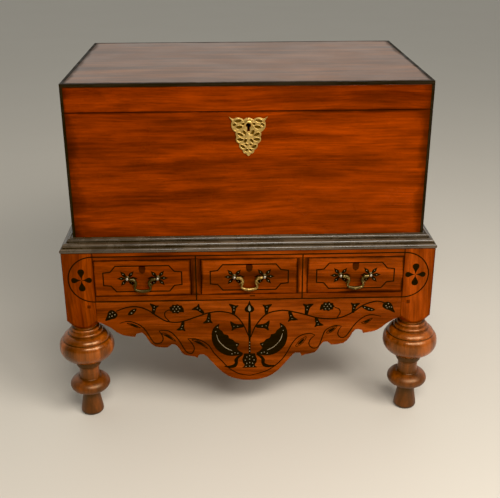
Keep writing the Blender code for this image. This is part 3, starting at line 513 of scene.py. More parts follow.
def piece(name, shape, material, body, slot, *nodes, place=Matrix(), sharp=35.0):
    """A shown piece of a closed shape, set in its place, that rides on a body and stands for nodes."""
    mesh = finished_mesh(name, shape, sharp)
    mesh.transform(place)
    mesh.materials.append(material)
    made = bpy.data.objects.new(name, mesh)
    bpy.context.scene.collection.objects.link(made)
    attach(made, body)
    if nodes:
        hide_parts(*nodes)


def join(shape, other, place=Matrix()):
    """Adds another closed shape, set in its place, to a shape."""
    other.transform(place)
    mesh = finished_mesh("joined", other, 35.0)
    shape.from_mesh(mesh)
    bpy.data.meshes.remove(mesh)


def dress(node, material, edge=None):
    """Gives a node of the frame its finish and worn edges."""
    made = frame["nodes"][node]
    made.data.materials.clear()
    made.data.materials.append(material)
    weld = made.modifiers.new("joined", "WELD")
    weld.merge_threshold = 0.00001
    worn = made.modifiers.new("worn_edges", "BEVEL")
    worn.width = woods().worn_edge if edge is None else edge
    worn.segments = 2
    worn.limit_method = "ANGLE"
    worn.angle_limit = math.radians(32)


def through(points, closed=False, steps=6):
    """A smooth line through the points."""
    knots = [Vector(point) for point in points]
    count = len(knots)
    line = []
    for first in range(count if closed else count - 1):
        ends = [first - 1, first, first + 1, first + 2]
        if closed:
            a, b, c, d = (knots[end % count] for end in ends)
        else:
            a, b, c, d = (knots[min(max(end, 0), count - 1)] for end in ends)
        for step in range(steps):
            t = step / steps
            line.append(b + (c - a) * (t / 2) + (2 * a - 5 * b + 4 * c - d) * (t * t / 2)
                        + (3 * b - a - 3 * c + d) * (t ** 3 / 2))
    if not closed:
        line.append(knots[-1])
    return line


def arc(start, end, bulge, steps=8):
    """Points after the start, up to the end, of an arc that bulges to the right of its chord."""
    start, end = Vector(start), Vector(end)
    half_turn = 2 * math.atan(bulge)
    chord = end - start
    aside = Vector((chord.y, -chord.x))
    points = []
    for step in range(1, steps + 1):
        turn = half_turn * (2 * step / steps - 1)
        along = 0.5 + math.sin(turn) / (2 * math.sin(half_turn))
        rise = (math.cos(turn) - math.cos(half_turn)) / (2 * math.sin(half_turn))
        points.append(start + chord * along + aside * rise)
    return points


def ellipse(centre, half_width, half_height, first=0.0, last=360.0, steps=24):
    """Points of part of an ellipse, from the first angle to the last, in degrees."""
    turns = [math.radians(first + (last - first) * step / steps) for step in range(steps + 1)]
    return [Vector((centre[0] + half_width * math.cos(turn), centre[1] + half_height * math.sin(turn)))
            for turn in turns]


def full_turn(steps):
    """Angles once round, in equal steps."""
    return [2 * math.pi * step / steps for step in range(steps)]


def lofted(rings):
    """A closed shape through rings of as many points each."""
    shape = bmesh.new()
    rows = [[shape.verts.new(point) for point in ring] for ring in rings]
    for lower, upper in zip(rows, rows[1:]):
        for index, corner in enumerate(lower):
            after = (index + 1) % len(lower)
            shape.faces.new((corner, lower[after], upper[after], upper[index]))
    shape.faces.new(rows[0])
    shape.faces.new(rows[-1])
    return shape


def turned(profile, steps=96):
    """A shape turned about Z from (radius, height) points in millimetres, closed at both ends."""
    rings = []
    for radius, height in profile:
        reach, up = radius * MM, height * MM
        rings.append([(reach * math.cos(turn), reach * math.sin(turn), up) for turn in full_turn(steps)])
    return lofted(rings)


def tube(path, steps=16):
    """A round bar along a path of (x, z, radius) points in millimetres."""
    rings = []
    for index, (x, z, radius) in enumerate(path):
        before, after = path[max(index - 1, 0)], path[min(index + 1, len(path) - 1)]
        run = Vector((after[0] - before[0], after[1] - before[1])).normalized()
        ring = []
        for turn in full_turn(steps):
            aside = radius * math.cos(turn)
            ring.append(((x - run.y * aside) * MM, radius * math.sin(turn) * MM, (z + run.x * aside) * MM))
        rings.append(ring)
    return lofted(rings)


def put(outline, root=(0, 0), turn=0.0, size=1.0, flip=1):
    """An outline of (x, z) points in millimetres, turned by degrees and set on its root, in metres."""
    turning = Matrix.Rotation(math.radians(turn), 2)
    root = Vector(root)
    return [(root + turning @ Vector((flip * x, z)) * size) * MM for x, z in outline]


def mirrored(points):
    """Points on the other side of the middle."""
    return [Vector((-x, z)) for x, z in points]


class DressBoards(bpy.types.Operator):
    """Finishes the boards of the chest, lid, stand and drawers"""
    bl_idname = "marriage_chest.dress_boards"
    bl_label = "Finish the boards"

    crisp: length("Crisp edge", "Width of the rounding where boards meet flush", 0.0004)
    front: length("Front edge", "Width of the rounding of the chest's and lid's fronts", 0.0012)
    apron: length("Apron edge", "Width of the rounding of the apron", 0.0014)
    drawer: length("Drawer edge", "Width of the rounding of the drawers' fronts", 0.0016)

    def lay(self, kind, node, grain, edge=None, **changes):
        dress(node, board(kind, node, grain, **changes), edge)

    def execute(self, context):
        self.lay("chest", "chest_front", "X", self.front, dirt_and_shade_reach=0.034)
        self.lay("chest", "lid_front", "X", self.front, dirt_and_shade_reach=0.024)
        self.lay("top", "lid_top", "X")
        self.lay("apron", "apron_front", "X", self.apron)
        dress("lid_edging", black_strip("X"))
        for node in ("chest_back", "lid_back"):
            self.lay("chest", node, "X")
        for node in ("rail_top", "rail_drawer", "stand_back"):
            self.lay("stand", node, "X", self.crisp)
        for node in ("chest_bottom", "dust_board", "stand_top"):
            self.lay("inner", node, "X")
        for side, _ in SIDES:
            self.lay("chest", "chest_" + side, "Y")
            self.lay("chest", "lid_" + side, "Y")
            # Partition edges darkened: painted shade where they meet the drawers, with smudges.
            self.lay("stand", "partition_" + side, "Z", self.crisp, dirt_and_shade_reach=0.014, darkest_dirt_and_shade=0.20)
            self.lay("stand", "side_" + side, "Y", dirt_and_shade_reach=0.012)
            self.lay("inner", "guide_" + side, "Y")
            dress("corner_strip_" + side, black_strip("Z"))
        for side in DRAWERS:
            # Drawer fronts' edges darkened: painted shade in the gaps round them, with smudges.
            self.lay("stand", f"drawer_{side}_front", "X", self.drawer, dirt_and_shade_reach=0.0052, darkest_dirt_and_shade=0.08,
                     handle=joint_place(f"bail_{side}_swing"))
            self.lay("inner", f"drawer_{side}_box", "Y")
            self.lay("inner", f"drawer_{side}_bottom", "Y")
        return {"FINISHED"}


class DressLock(bpy.types.Operator):
    """Finishes the lock and the lid's hinges"""
    bl_idname = "marriage_chest.dress_lock"
    bl_label = "Finish the lock and hinges"

    iron_edge: length("Iron edge", "Width of the rounding of the lock's edges", 0.0003)
    hinge_edge: length("Hinge edge", "Width of the rounding of the hinges' edges", 0.0002)

    def execute(self, context):
        for node in ("lock_case", "lock_bolt", "lock_link"):
            dress(node, iron("forged_iron"), self.iron_edge)
        for side, _ in SIDES:
            for name in ("hinge_leaf_", "hinge_pin_", "lid_leaf_"):
                dress(name + side, brass("hinge_brass", tarnished=0.5), self.hinge_edge)
        return {"FINISHED"}


class TurnLegs(bpy.types.Operator):
    """Turns the four legs and their square posts"""
    bl_idname = "marriage_chest.turn_legs"
    bl_label = "Turn the legs"

    corner: length("Corner", "Radius of the posts' corners", 0.0012)
    # Above this height a post's edges are darkened: painted shade where it meets its neighbours, with
    # smudges.
    post_foot: length("Post foot", "Height at which the soiled edges of a post begin", 0.27)

    def turning(self):
        """Foot, ball, neck, ring, bulb and beads, from the floor up."""
        return [
            *ellipse((22.5, 9.0), 8.5, 9.0, -90, 0, 8),
            *through([(31.0, 9.0), (30.0, 18.0), (27.2, 34.0), (24.6, 52.0), (23.6, 72.5)])[1:],
            *ellipse((24.4, 93.0), 30.1, 20.5, -90, 0, 14),
            *ellipse((27.0, 93.0), 27.5, 21.0, 4, 80, 14),
            (28.6, 113.2),
            *through([(27.8, 114.0), (27.0, 124.0), (26.8, 138.0), (27.2, 148.0)]),
            *arc((28.4, 148.6), (30.0, 153.0), 0.6),
            (30.2, 153.8), (33.4, 155.0),
            *through([(34.4, 158.0), (34.6, 166.0), (34.4, 173.0)]),
            *ellipse((33.0, 212.0), 40.8, 38.0, -86, 0, 24),
            *through([(73.8, 212.4), (73.4, 220.0), (71.5, 228.0), (68.0, 234.0), (64.4, 237.2)]),
            (61.6, 237.4), (60.6, 238.4), (62.4, 239.4),
            *through([(63.0, 240.4), (62.0, 243.4), (58.4, 248.2), (53.2, 251.8), (49.4, 253.2)]),
            (46.6, 252.8), (45.4, 253.6), (45.6, 255.4),
            *arc((45.6, 255.6), (42.4, 263.6), 0.55),
            (40.0, 263.4), (38.8, 264.2), (38.6, 265.8),
            *arc((38.4, 266.0), (35.6, 273.8), 0.55),
            (32.6, 274.2), (31.4, 276.4), (31.4, 279.0),
        ]

    def post(self, steps=12):
        """A square post whose foot is turned to meet the collar."""
        flat = POST_HALF - self.corner
        loop = []
        for quarter in range(4):
            turn = Matrix.Rotation(quarter * math.pi / 2, 2)
            side = [Vector((POST_HALF, flat * (2 * step / steps - 1))) for step in range(steps + 1)]
            bend = ellipse((flat, flat), self.corner, self.corner, 22.5, 67.5, 2)
            loop += [turn @ point for point in side + bend]
        shoulder = through([(31.0, 277.4), (34.0, 279.6), (39.6, 286.0), (46.0, 294.0), (52.0, 301.5),
                            (58.0, 308.5)])
        rings = []
        for radius, height in shoulder:
            rings.append([(*(point * min(1.0, radius * MM / point.length)), height * MM) for point in loop])
        for size, height in ((1.0, LEG_HIGH.z - self.corner), (flat / POST_HALF, LEG_HIGH.z)):
            rings.append([(*(point * size), height) for point in loop])
        return lofted(rings)

    def execute(self, context):
        for row, y in (("front", -1), ("back", 1)):
            for side, x in SIDES:
                node = f"leg_{row}_{side}"
                place = Vector((x * LEG_PLACE.x, y * LEG_PLACE.y, 0.0))
                box = (place + Vector((-POST_HALF, -POST_HALF, self.post_foot)),
                       place + Vector((POST_HALF, POST_HALF, LEG_HIGH.z)))
                leg = board("leg", node, "Z", warmth=woods().leg_warmth)
                post = board("stand", "post_" + node, "Z", box)
                for name, shape, material, slot in (
                        ("turning", turned(self.turning()), leg, "leg_wood"),
                        ("post", self.post(), post, "stand_wood")):
                    piece(f"{name}_{row}_{side}", shape, material, "stand", slot, node,
                          place=Matrix.Translation(place))
        return {"FINISHED"}


class RunMouldings(bpy.types.Operator):
    """Runs the black moulding round the foot of the chest"""
    bl_idname = "marriage_chest.run_mouldings"
    bl_label = "Run the mouldings"

    def profile(self, reach, height):
        """Two beads with a broad round between them and a quirk after each: distance out and height."""
        step = reach / 6
        rise = height / 11
        rim = [Vector((0, 0)), Vector((reach - step / 4, 0))]
        rim += arc(rim[-1], (reach - 0.7 * step, 3.6 * rise), 0.55)
        rim += [Vector((reach - 1.6 * step, 2.6 * rise)), Vector((reach - 1.6 * step, 3.8 * rise))]
        rim += arc((reach - 1.2 * step, 4.4 * rise), (2.9 * step, 7.6 * rise), 0.5)
        rim += [Vector((1.9 * step, 6.2 * rise)), Vector((1.7 * step, 7.4 * rise))]
        rim += arc((2.2 * step, 8.0 * rise), (1.2 * step, 10.8 * rise), 0.6)
        rim += [Vector((0.6 * step, 10.0 * rise)), Vector((0.5 * step, height)), Vector((0, height))]
        return rim

    def execute(self, context):
        low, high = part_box("moulding_front")
        right_low, right_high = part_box("moulding_right")
        rim = self.profile(high.y - low.y, high.z - low.z)
        for name, grain, start, end in (
                ("front", "X", (-1, -1), (1, -1)),
                ("right", "Y", (1, -1), (1, 1)),
                ("left", "Y", (-1, 1), (-1, -1))):
            rings = []
            for x, y in (start, end):
                rings.append([(x * (right_low.x + out), high.y - out if y < 0 else right_high.y, low.z + up)
                              for out, up in rim])
            piece("moulding_run_" + name, lofted(rings), black_moulding(grain), "stand", "ebony",
                  "moulding_" + name, sharp=28.0)
        return {"FINISHED"}


class Inlay:
    """Thin shapes let into a front, gathered into one. dot is its dots' share of the set radius."""

    HAIR = 0.000003

    def __init__(self, face, extra_lift=0.0, dot=1.0):
        own = bpy.context.scene.chest_inlay
        self.shape = bmesh.new()
        self.front = face - own.lift - extra_lift
        self.back = face + own.sink
        self.radius = dot * own.dot

    def rise(self):
        """Lifts the next shape by a hair, so that no two faces lie in each other."""
        self.front -= self.HAIR

    def corners(self, x, z):
        return [self.shape.verts.new((x, y, z)) for y in (self.front, self.back)]

    def fill(self, outline):
        """A filled outline of (x, z) points."""
        self.rise()
        pairs = [self.corners(x, z) for x, z in outline]
        self.shape.faces.new([front for front, _ in pairs])
        self.shape.faces.new([back for _, back in reversed(pairs)])
        for index, (front, back) in enumerate(pairs):
            before_front, before_back = pairs[index - 1]
            self.shape.faces.new((before_front, before_back, back, front))

    def patch(self, outline, *place, **how):
        """A filled outline that is put in its place."""
        self.fill(put(outline, *place, **how))

    def leaf(self, outline, *place, **how):
        """A patch with a smooth outline."""
        self.fill(through(put(outline, *place, **how), True, 3))

    def dots(self, spots, *place, dot=1.0, **how):
        """Round dots, of a share of the usual radius, whose middles are put in their places."""
        radius = dot * self.radius
        for spot in put(spots, *place, **how):
            self.fill(ellipse(spot, radius, radius, 0, 330, 11))

    def band(self, line, width, closed=False, tip=1.0):
        """A strip along a line. tip is the share of its width at an open line's ends."""
        self.rise()
        points = [Vector(point) for point in line]
        count = len(points)
        rows = []
        for index, point in enumerate(points):
            before = points[index - 1] if closed or index else point
            after = points[(index + 1) % count] if closed or index < count - 1 else point
            first = (point - before).normalized() if point != before else (after - point).normalized()
            second = (after - point).normalized() if after != point else first
            aside = Vector((-first.y - second.y, first.x + second.x)) / (1 + first.dot(second))
            middle = 1 - abs(2 * index / (count - 1) - 1)
            half = width / 2 * (1.0 if closed else tip + (1 - tip) * min(1.0, 4 * middle))
            rows.append(self.corners(*(point + aside * half)) + self.corners(*(point - aside * half)))
        for a, b in zip(rows, rows[1:] + rows[:1] if closed else rows[1:]):
            for i, j in ((0, 2), (2, 3), (3, 1), (1, 0)):
                self.shape.faces.new((a[i], a[j], b[j], b[i]))
        if not closed:
            for row in (rows[0], rows[-1]):
                self.shape.faces.new((row[0], row[2], row[3], row[1]))

    def lay(self, name, material, body, slot):
        """Shows what was gathered as one piece."""
        self.shape.normal_update()
        bmesh.ops.triangulate(self.shape, faces=self.shape.faces, ngon_method="EAR_CLIP")
        piece(name, self.shape, material, body, slot, sharp=20.0)


class InlayStand(bpy.types.Operator):
    """Lets the black stringing, petals and pegs into the stand's front"""
    bl_idname = "marriage_chest.inlay_stand"
    bl_label = "Inlay the stand"

    top: length("Upper line", "Height of the line over the drawers", 0.490)
    foot: length("Lower line", "Height of the line under the drawers", 0.3615)
    straight: length("Straight", "Half the straight run of the long frame", 0.407)
    divider: length("Divider", "Distance of the upright lines from the middle", 0.1395)
    petal_place: length("Petal place", "Distance of the petals from the middle", 0.437)
    petal_shift: length("Petal shift", "How far the petals lie out of level", 0.001)
    peg_place: length("Peg place", "Distance of the pegs from the middle", 0.4235)
    peg_height: length("Peg height", "Height of the pegs", 0.3475)
    peg: length("Peg", "Half the width of a peg's head", 0.0043)
    peg_lift: length("Peg lift", "How far a peg stands out over the inlay", 0.0004)

    def execute(self, context):
        line = context.scene.chest_inlay.line
        stringing = Inlay(STAND_FRONT)
        radius = (self.top - self.foot) / 2
        middle = (self.top + self.foot) / 2
        frame_line = ellipse((self.straight, middle), radius, radius, -90, 90, 32)
        frame_line += ellipse((-self.straight, middle), radius, radius, 90, 270, 32)
        stringing.band(frame_line, line, closed=True)
        for _, x in SIDES:
            upright = [(x * self.divider, self.foot + line / 2), (x * self.divider, self.top - line / 2)]
            stringing.band(upright, line)
        slot = [(1, 370.6), (15, 370.6), (15, 373.4), (1, 373.4)]
        stringing.patch(slot)
        stringing.lay("stringing", black_inlay(), "stand", "ebony")

        petals = Inlay(STAND_FRONT)
        half = [(1.5, 7), (4.6, 13), (7.8, 19), (7.9, 24.5), (4.8, 28.6)]
        petal = [(0, 1), *half, (0, 29.8), *mirrored(reversed(half))]
        for _, x in SIDES:
            centre = Vector((x * self.petal_place, middle + x * self.petal_shift)) / MM
            for quarter in range(4):
                size = 0.90 if quarter % 2 else 1.06
                petals.leaf(petal, centre, 90 * quarter, size)
        petals.lay("post_petals", black_inlay(), "stand", "ebony")

        pegs = Inlay(STAND_FRONT, self.peg_lift)
        half, lean = self.peg / MM, 4
        square = [(-half, -half), (half, -half), (half, half), (-half, half)]
        for _, x in SIDES:
            pegs.patch(square, Vector((x * self.peg_place, self.peg_height)) / MM, lean * x)
        pegs.lay("pegs", dark_patch("peg_wood", "stand", 0.36), "stand", "stand_wood")
        return {"FINISHED"}


class InlayDrawers(bpy.types.Operator):
    """Lets a lobed frame, two stars and a dark lock patch into each drawer front"""
    bl_idname = "marriage_chest.inlay_drawers"
    bl_label = "Inlay the drawers"

    frame_width: length("Frame width", "Width of the lobed frame", 0.204)
    frame_height: length("Frame height", "Height of the lobed frame", 0.073)
    frame_drop: length("Frame drop", "From the handle's pivots down to the frame's middle", 0.0028)
    star_reach: length("Star reach", "From a star's middle to its tips", 0.0275)
    star_drop: length("Star drop", "From the handle's pivots down to the stars' middles", 0.0015)

    def frame_line(self, middle):
        """The frame's line: straight sides and stepped corners with a hollow."""
        wide, high = self.frame_width / 2, self.frame_height / 2
        steps = ((0, 18.5), (19, 16.5), (25.5, 8.5), (32.5, 0))
        corner = [(wide - x * MM, high - z * MM) for x, z in steps]
        points = corner + [(-x, z) for x, z in reversed(corner)]
        points += [(-x, -z) for x, z in points]
        return [middle + Vector(point) for point in points]

    def execute(self, context):
        own = context.scene.chest_inlay
        half = [(8, 2.9), (14.5, 5.0), (18, 4.2), (22, 2.0)]
        tip = (27, 0)
        ray = [(0, 0), *half, tip, *((x, -z) for x, z in reversed(half))]
        size = self.star_reach / MM / tip[0]
        patch = [(-8, 1), (8, 1), (9, -9), (7, -18), (0, -23), (-7, -18), (-9, -9)]
        for drawer in DRAWERS:
            pivot = joint_place(f"bail_{drawer}_swing")
            name = "drawer_" + drawer
            low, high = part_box(f"handle_{drawer}_post_a")
            reach = pivot.x - (low.x + high.x) / 2
            black = Inlay(DRAWER_FACE)
            pale = Inlay(DRAWER_FACE, 2 * own.lift, 0.75)
            middle = Vector((pivot.x, pivot.z - self.frame_drop))
            black.band(self.frame_line(middle), own.line, closed=True)
            for _, x in SIDES:
                root = Vector((pivot.x + x * reach, pivot.z - self.star_drop)) / MM
                for turn in (0, 50, 130, 180, 230, 310):
                    black.patch(ray, root, turn, size)
                    pale.dots([(16.0, 0)], root, turn, size)
            black.lay(name + "_inlay", black_inlay(), name, "ebony")
            pale.lay(name + "_dots", bone("pale_inlay"), name, "brass")
            lock = Inlay(DRAWER_FACE)
            lock.patch(patch, (middle + Vector((0, self.frame_height / 2))) / MM)
            lock.lay(name + "_patch", dark_patch("lock_wood", "stand", 0.22), name, "ebony")
        return {"FINISHED"}


class InlayApron(bpy.types.Operator):
    """Lets the vine, flowers, leaves and urn into the apron"""
    bl_idname = "marriage_chest.inlay_apron"
    bl_label = "Inlay the apron"

    # Lines of the left and right halves, which are not quite alike: (x, z) in millimetres
    VINES = (
        [(-3, 252), (-19, 291), (-43, 318), (-77, 327), (-111, 323), (-148, 310), (-185, 298), (-219, 300),
         (-244, 315), (-268, 334), (-296, 345), (-324, 344), (-353, 333)],
        [(3, 247), (17, 283), (45, 317), (80, 327), (102, 326), (142, 316), (189, 302), (235, 301),
         (271, 315), (304, 339), (338, 350), (361, 345)],
    )
    # Scrolls along the apron's edge, from the middle outwards, and curls that carry the round flowers
    SCROLLS = (
        [(0, 128), (-30, 135), (-56, 152), (-76, 176), (-96, 200), (-110, 224), (-127, 238), (-147, 246),
         (-167, 247)],
        [(-167, 247), (-157, 234), (-150, 218), (-154, 204), (-162, 201), (-174, 210), (-190, 241),
         (-209, 266), (-226, 273), (-243, 272)],
        [(-243, 272), (-235, 258), (-233, 246), (-239, 236), (-250, 233), (-260, 239), (-277, 272),
         (-290, 288), (-307, 298), (-326, 302), (-346, 297)],
        [(0, 128), (41, 140), (67, 156), (87, 176), (102, 199), (113, 222), (127, 242), (144, 253),
         (164, 256), (177, 251)],
        [(177, 251), (165, 238), (161, 225), (168, 213), (180, 211), (190, 221), (202, 260), (216, 273),
         (233, 279), (248, 277)],
        [(248, 277), (241, 265), (239, 252), (246, 243), (257, 243), (268, 256), (279, 275), (292, 291),
         (309, 305), (329, 310), (354, 304)],
        [(-213, 300), (-224, 313), (-224, 328), (-210, 336)],
        [(234, 302), (242, 316), (240, 328), (227, 334)],
    )
    # Each trumpet flower from its root on the vine to the middle of its rim
    TRUMPETS = (((-256, 323), (-250, 351)), ((-122, 323), (-143, 344)), ((-107, 322), (-110, 292)),
                ((-177, 299), (-183, 271)), ((-43, 317), (-40, 347)), ((-16, 283), (-50, 281)),
                ((277, 317), (281, 346)), ((152, 313), (155, 346)), ((107, 325), (115, 295)),
                ((178, 305), (186, 277)), ((45, 316), (46, 346)), ((18, 281), (53, 281)))
    ROUND_FLOWERS = ((-194, 337), (208, 337))
    # Berries at the vine's ends and leaves beside it, with the pale dots on them
    LEAVES = (
        [(-384, 305), (-378, 320), (-374, 332), (-364, 337), (-354, 331), (-350, 321), (-357, 312),
         (-368, 309)],
        [(390, 315), (385, 328), (380, 341), (370, 348), (359, 345), (355, 335), (362, 327), (375, 322)],
        [(-323, 322), (-317, 333), (-308, 339), (-299, 340), (-302, 331), (-311, 322)],
        [(299, 335), (306, 337), (315, 335), (336, 326), (326, 320), (311, 325)],
    )
    LEAF_DOTS = ((-370, 326), (-363, 330), (-357, 323), (-365, 319), (-372, 317), (365, 336), (371, 342),
                 (374, 333), (380, 332), (368, 330), (-306, 335), (-313, 327), (308, 332), (319, 328),
                 (327, 325))
    # Narrow leaves inside the scrolls
    SLIPS = (
        [(-326, 296), (-316, 296), (-303, 290), (-292, 282), (-305, 285)],
        [(-236, 264), (-224, 263), (-209, 252), (-200, 240), (-217, 250)],
        [(-156, 243), (-141, 241), (-126, 230), (-114, 215), (-132, 228)],
        [(302, 286), (315, 294), (330, 299), (322, 290), (312, 283)],
        [(208, 258), (219, 270), (236, 277), (228, 266), (217, 257)],
        [(125, 218), (136, 235), (153, 247), (149, 234), (137, 221)],
    )

    def trumpet(self, black, pale, root, rim):
        """A trumpet flower with pale dots, whose longer lip points outwards, in shares of its length."""
        bell = [(-0.10, 0), (-0.16, 0.22), (-0.18, 0.48), (-0.22, 0.68), (-0.36, 0.88), (-0.34, 0.98),
                (-0.10, 0.93), (0.14, 1.0), (0.46, 1.03), (0.43, 0.90), (0.26, 0.70), (0.19, 0.48),
                (0.16, 0.22), (0.10, 0)]
        run = Vector(rim) - Vector(root)
        turn = math.degrees(math.atan2(-run.x, run.y))
        flip = math.copysign(1, rim[0]) * (1 if run.y > 0 else -1)
        black.leaf(bell, root, turn, run.length, flip)
        pale.dots([(0.0, 0.46), (0.02, 0.76)], root, turn, run.length, flip, dot=0.8)

    def round_flower(self, black, pale, middle):
        """A lobed flower with a leaf under it on the side of the urn."""
        lobes = []
        for turn in full_turn(72):
            wave = math.cos(9 * turn)
            lobes.append(((18 + 1.6 * wave) * math.cos(turn), (13 + 1.3 * wave) * math.sin(turn)))
        tip = [(11, 7), (18, 3), (20, -10), (12, -7)]
        spots = [(0, 0), (-9, 0), (9, 1), (-5, 7), (5, 7), (-5, -7), (5, -7)]
        black.patch(lobes, middle)
        black.leaf(tip, middle, flip=-math.copysign(1, middle[0]))
        pale.dots(spots, middle)

    def slip(self, black, outline, width):
        """A narrow leaf with a line round it."""
        black.band(through(put(outline), True, 4), width, closed=True)
        core = sum((Vector(point) for point in outline), Vector((0, 0))) / len(outline)
        black.leaf([Vector(point).lerp(core, 0.35) for point in outline])

    def plume(self, black, pale, side, width):
        """The large feathered leaf beside the urn, and the curled leaf under it."""
        leaf = [(18, 197), (40, 191), (62, 193), (80, 203), (94, 219), (101, 238), (102, 260), (96, 279),
                (81, 290), (83, 277), (73, 267), (69, 259), (58, 255), (55, 246), (45, 241), (38, 233),
                (28, 229), (31, 221), (34, 214), (27, 205)]
        curled = [(18, 195), (33, 190), (42, 178), (41, 168), (52, 161), (70, 159), (54, 153), (38, 156),
                  (32, 168), (31, 181)]
        vein = [(89, 258), (84, 240), (73, 225), (62, 215), (47, 207)]
        spots = [(91, 267), (86, 280), (40, 201), (32, 199), (48, 198), (35, 225)]
        for outline in (leaf, curled):
            black.leaf(outline, flip=side)
        pale.band(through(put(vein, flip=side), steps=5), width, tip=0.25)
        pale.dots(spots, flip=side)

    def urn(self, black, pale):
        """The urn in the middle with its stem and bud: halves on the right of each."""
        stem = [(2.6, 198), (2.6, 240), (4.0, 262), (3.2, 300), (2.2, 326)]
        bud = [(4, 347), (11, 338), (13, 331), (9, 325)]
        heart = [(3.4, 335), (2.4, 329)]
        bowl = [(15, 198), (16, 191), (20, 181), (19, 170), (14, 163), (15, 158), (21, 153)]
        black.patch(mirrored(stem[:1]) + stem + mirrored(reversed(stem[1:])))
        black.leaf([(0, 358), *bud, (0, 323), *mirrored(reversed(bud))])
        pale.leaf([(0, 345), *heart, (0, 327), *mirrored(reversed(heart))])
        black.patch(bowl + mirrored(reversed(bowl)))
        for spot in ((0, 191), (8, 187), (0, 180), (12, 177), (0, 169), (8, 167), (0, 158), (10, 157)):
            pale.dots([spot, *mirrored([spot])] if spot[0] else [spot])
        pale.dots([(0, 205), (0, 214), (0, 223), (0, 232)])

    def execute(self, context):
        own = context.scene.chest_inlay
        black = Inlay(STAND_FRONT)
        pale = Inlay(STAND_FRONT, 2 * own.lift, 0.9)
        for vine in self.VINES:
            black.band(through(put(vine), steps=8), own.vine, tip=0.7)
        for line in self.SCROLLS:
            black.band(through(put(line)), own.scroll, tip=0.5)
        for root, rim in self.TRUMPETS:
            self.trumpet(black, pale, root, rim)
        for outline in self.LEAVES:
            black.leaf(outline)
        for outline in self.SLIPS:
            self.slip(black, outline, own.slip)
        for middle in self.ROUND_FLOWERS:
            self.round_flower(black, pale, middle)
        pale.dots(self.LEAF_DOTS)
        for _, side in SIDES:
            self.plume(black, pale, side, own.vein)
        self.urn(black, pale)
        black.lay("apron_marquetry", black_inlay(), "stand", "ebony")
        pale.lay("apron_dots", bone("pale_inlay"), "stand", "brass")
        return {"FINISHED"}


class HangHandles(bpy.types.Operator):
    """Makes the ball-headed posts and swan-neck bails of the drawers"""
    bl_idname = "marriage_chest.hang_handles"
    bl_label = "Hang the handles"

    head: length("Head", "Radius of a post's ball head", 0.0042)
    rose: length("Rose", "Radius of the rose under a head", 0.0062)
    bar: length("Bar", "Radius of a bail in the middle of its foot", 0.0045)
    foot: length("Foot", "Half the width of a bail's foot", 0.0208)
    rivet: length("Rivet", "Height of a post's rivet inside the drawer", 0.0022)
    gap: length("Gap", "From the drawer's face to the back of a rose", 0.0001)

    def bail(self, half, drop):
        """A swan neck with pins at both ends, round in section: points and radii on the right side."""
        head, wide = self.head / MM, self.foot / MM
        pins = [(half - head / 2, 0, 1.5), (half - head - 0.3, 0, 1.5), (half - head - 0.4, -0.2, 3.0)]
        neck = [(half - head - 2.6, -0.8, 4.3), (0.60 * half, -2.6, 4.6), (0.46 * half, -7.2, 3.9),
                (0.43 * half, -13.7, 3.3), (0.91 * wide, -20.1, 3.3), (wide, -25.9, 3.2),
                (0.87 * wide, -30.9, 3.5), (0.50 * wide, 1.4 - drop, 4.2), (0, -drop, self.bar / MM)]
        points = [Vector(point) for point in pins] + through(neck, steps=5)
        return points + [Vector((-x, z, radius)) for x, z, radius in reversed(points[:-1])]

    def spur(self, half, side):
        """A small pointed leaf on the outside of the neck."""
        spine = [(0.40 * half, -9.0, 1.8), (0.53 * half, -14.5, 2.7), (0.68 * half, -19.5, 0.8)]
        return tube([(side * x, z, radius) for x, z, radius in through(spine, steps=4)])

    def post(self, face, inside):
        """A ball head, neck, shank and rivet along Z from the back."""
        head, back = self.head / MM, inside - self.rivet / MM
        profile = [(0.8, back), (2.6, back + 0.5), (4.0, back + 1.8), (4.2, inside), (2.5, inside),
                   (2.5, face), (3.4, face + 1.6), (3.0, face + 3.0)]
        return turned(profile + ellipse((0, 0), head, head, -48, 86, 14), 32)

    def rosette(self, back):
        """The dark rose that a post stands on."""
        rim = self.rose / MM
        profile = [(rim - 0.3, back), (rim, back + 0.5), (rim - 0.8, back + 1.1), (rim - 2.2, back + 1.4),
                   (3.2, back + 2.2)]
        return turned(profile, 32)

    def execute(self, context):
        looks = {"left": brass("dark_brass", tarnished=1.2, oxidised=True),
                 "middle": brass("bright_brass", tarnished=0.56),
                 "right": brass("worn_brass", tarnished=0.68, oxidised=True)}
        pale = brass("pale_brass", tarnished=0.15, silvered=True)
        dark = brass("rose_brass", tarnished=1.2, oxidised=True)
        for drawer in DRAWERS:
            pivot = joint_place(f"bail_{drawer}_swing")
            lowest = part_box(f"handle_{drawer}_bail")[0].z
            body = "drawer_" + drawer
            nodes = [f"handle_{drawer}_post_{end}" for end in "ab"]
            spots = [sum(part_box(node), Vector()) / 2 for node in nodes]
            half = (spots[1].x - spots[0].x) / 2 / MM
            shape = tube(self.bail(half, (pivot.z - lowest - self.bar) / MM))
            for _, side in SIDES:
                join(shape, self.spur(half, side))
            piece(f"bail_{drawer}", shape, looks[drawer], "bail_" + drawer, "brass", f"handle_{drawer}_bail",
                  place=Matrix.Translation(pivot))
            face = (pivot.y - DRAWER_FACE) / MM
            inside = (pivot.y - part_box(nodes[0])[1].y + self.rivet) / MM
            for end, node, spot in zip("ab", nodes, spots):
                place = Matrix.Translation((spot.x, pivot.y, pivot.z)) @ FORWARD
                piece(f"handle_post_{drawer}_{end}", self.post(face, inside), pale, body, "brass", node,
                      place=place)
                piece(f"handle_rose_{drawer}_{end}", self.rosette(face + self.gap / MM), dark, body, "brass",
                      place=place)
        return {"FINISHED"}


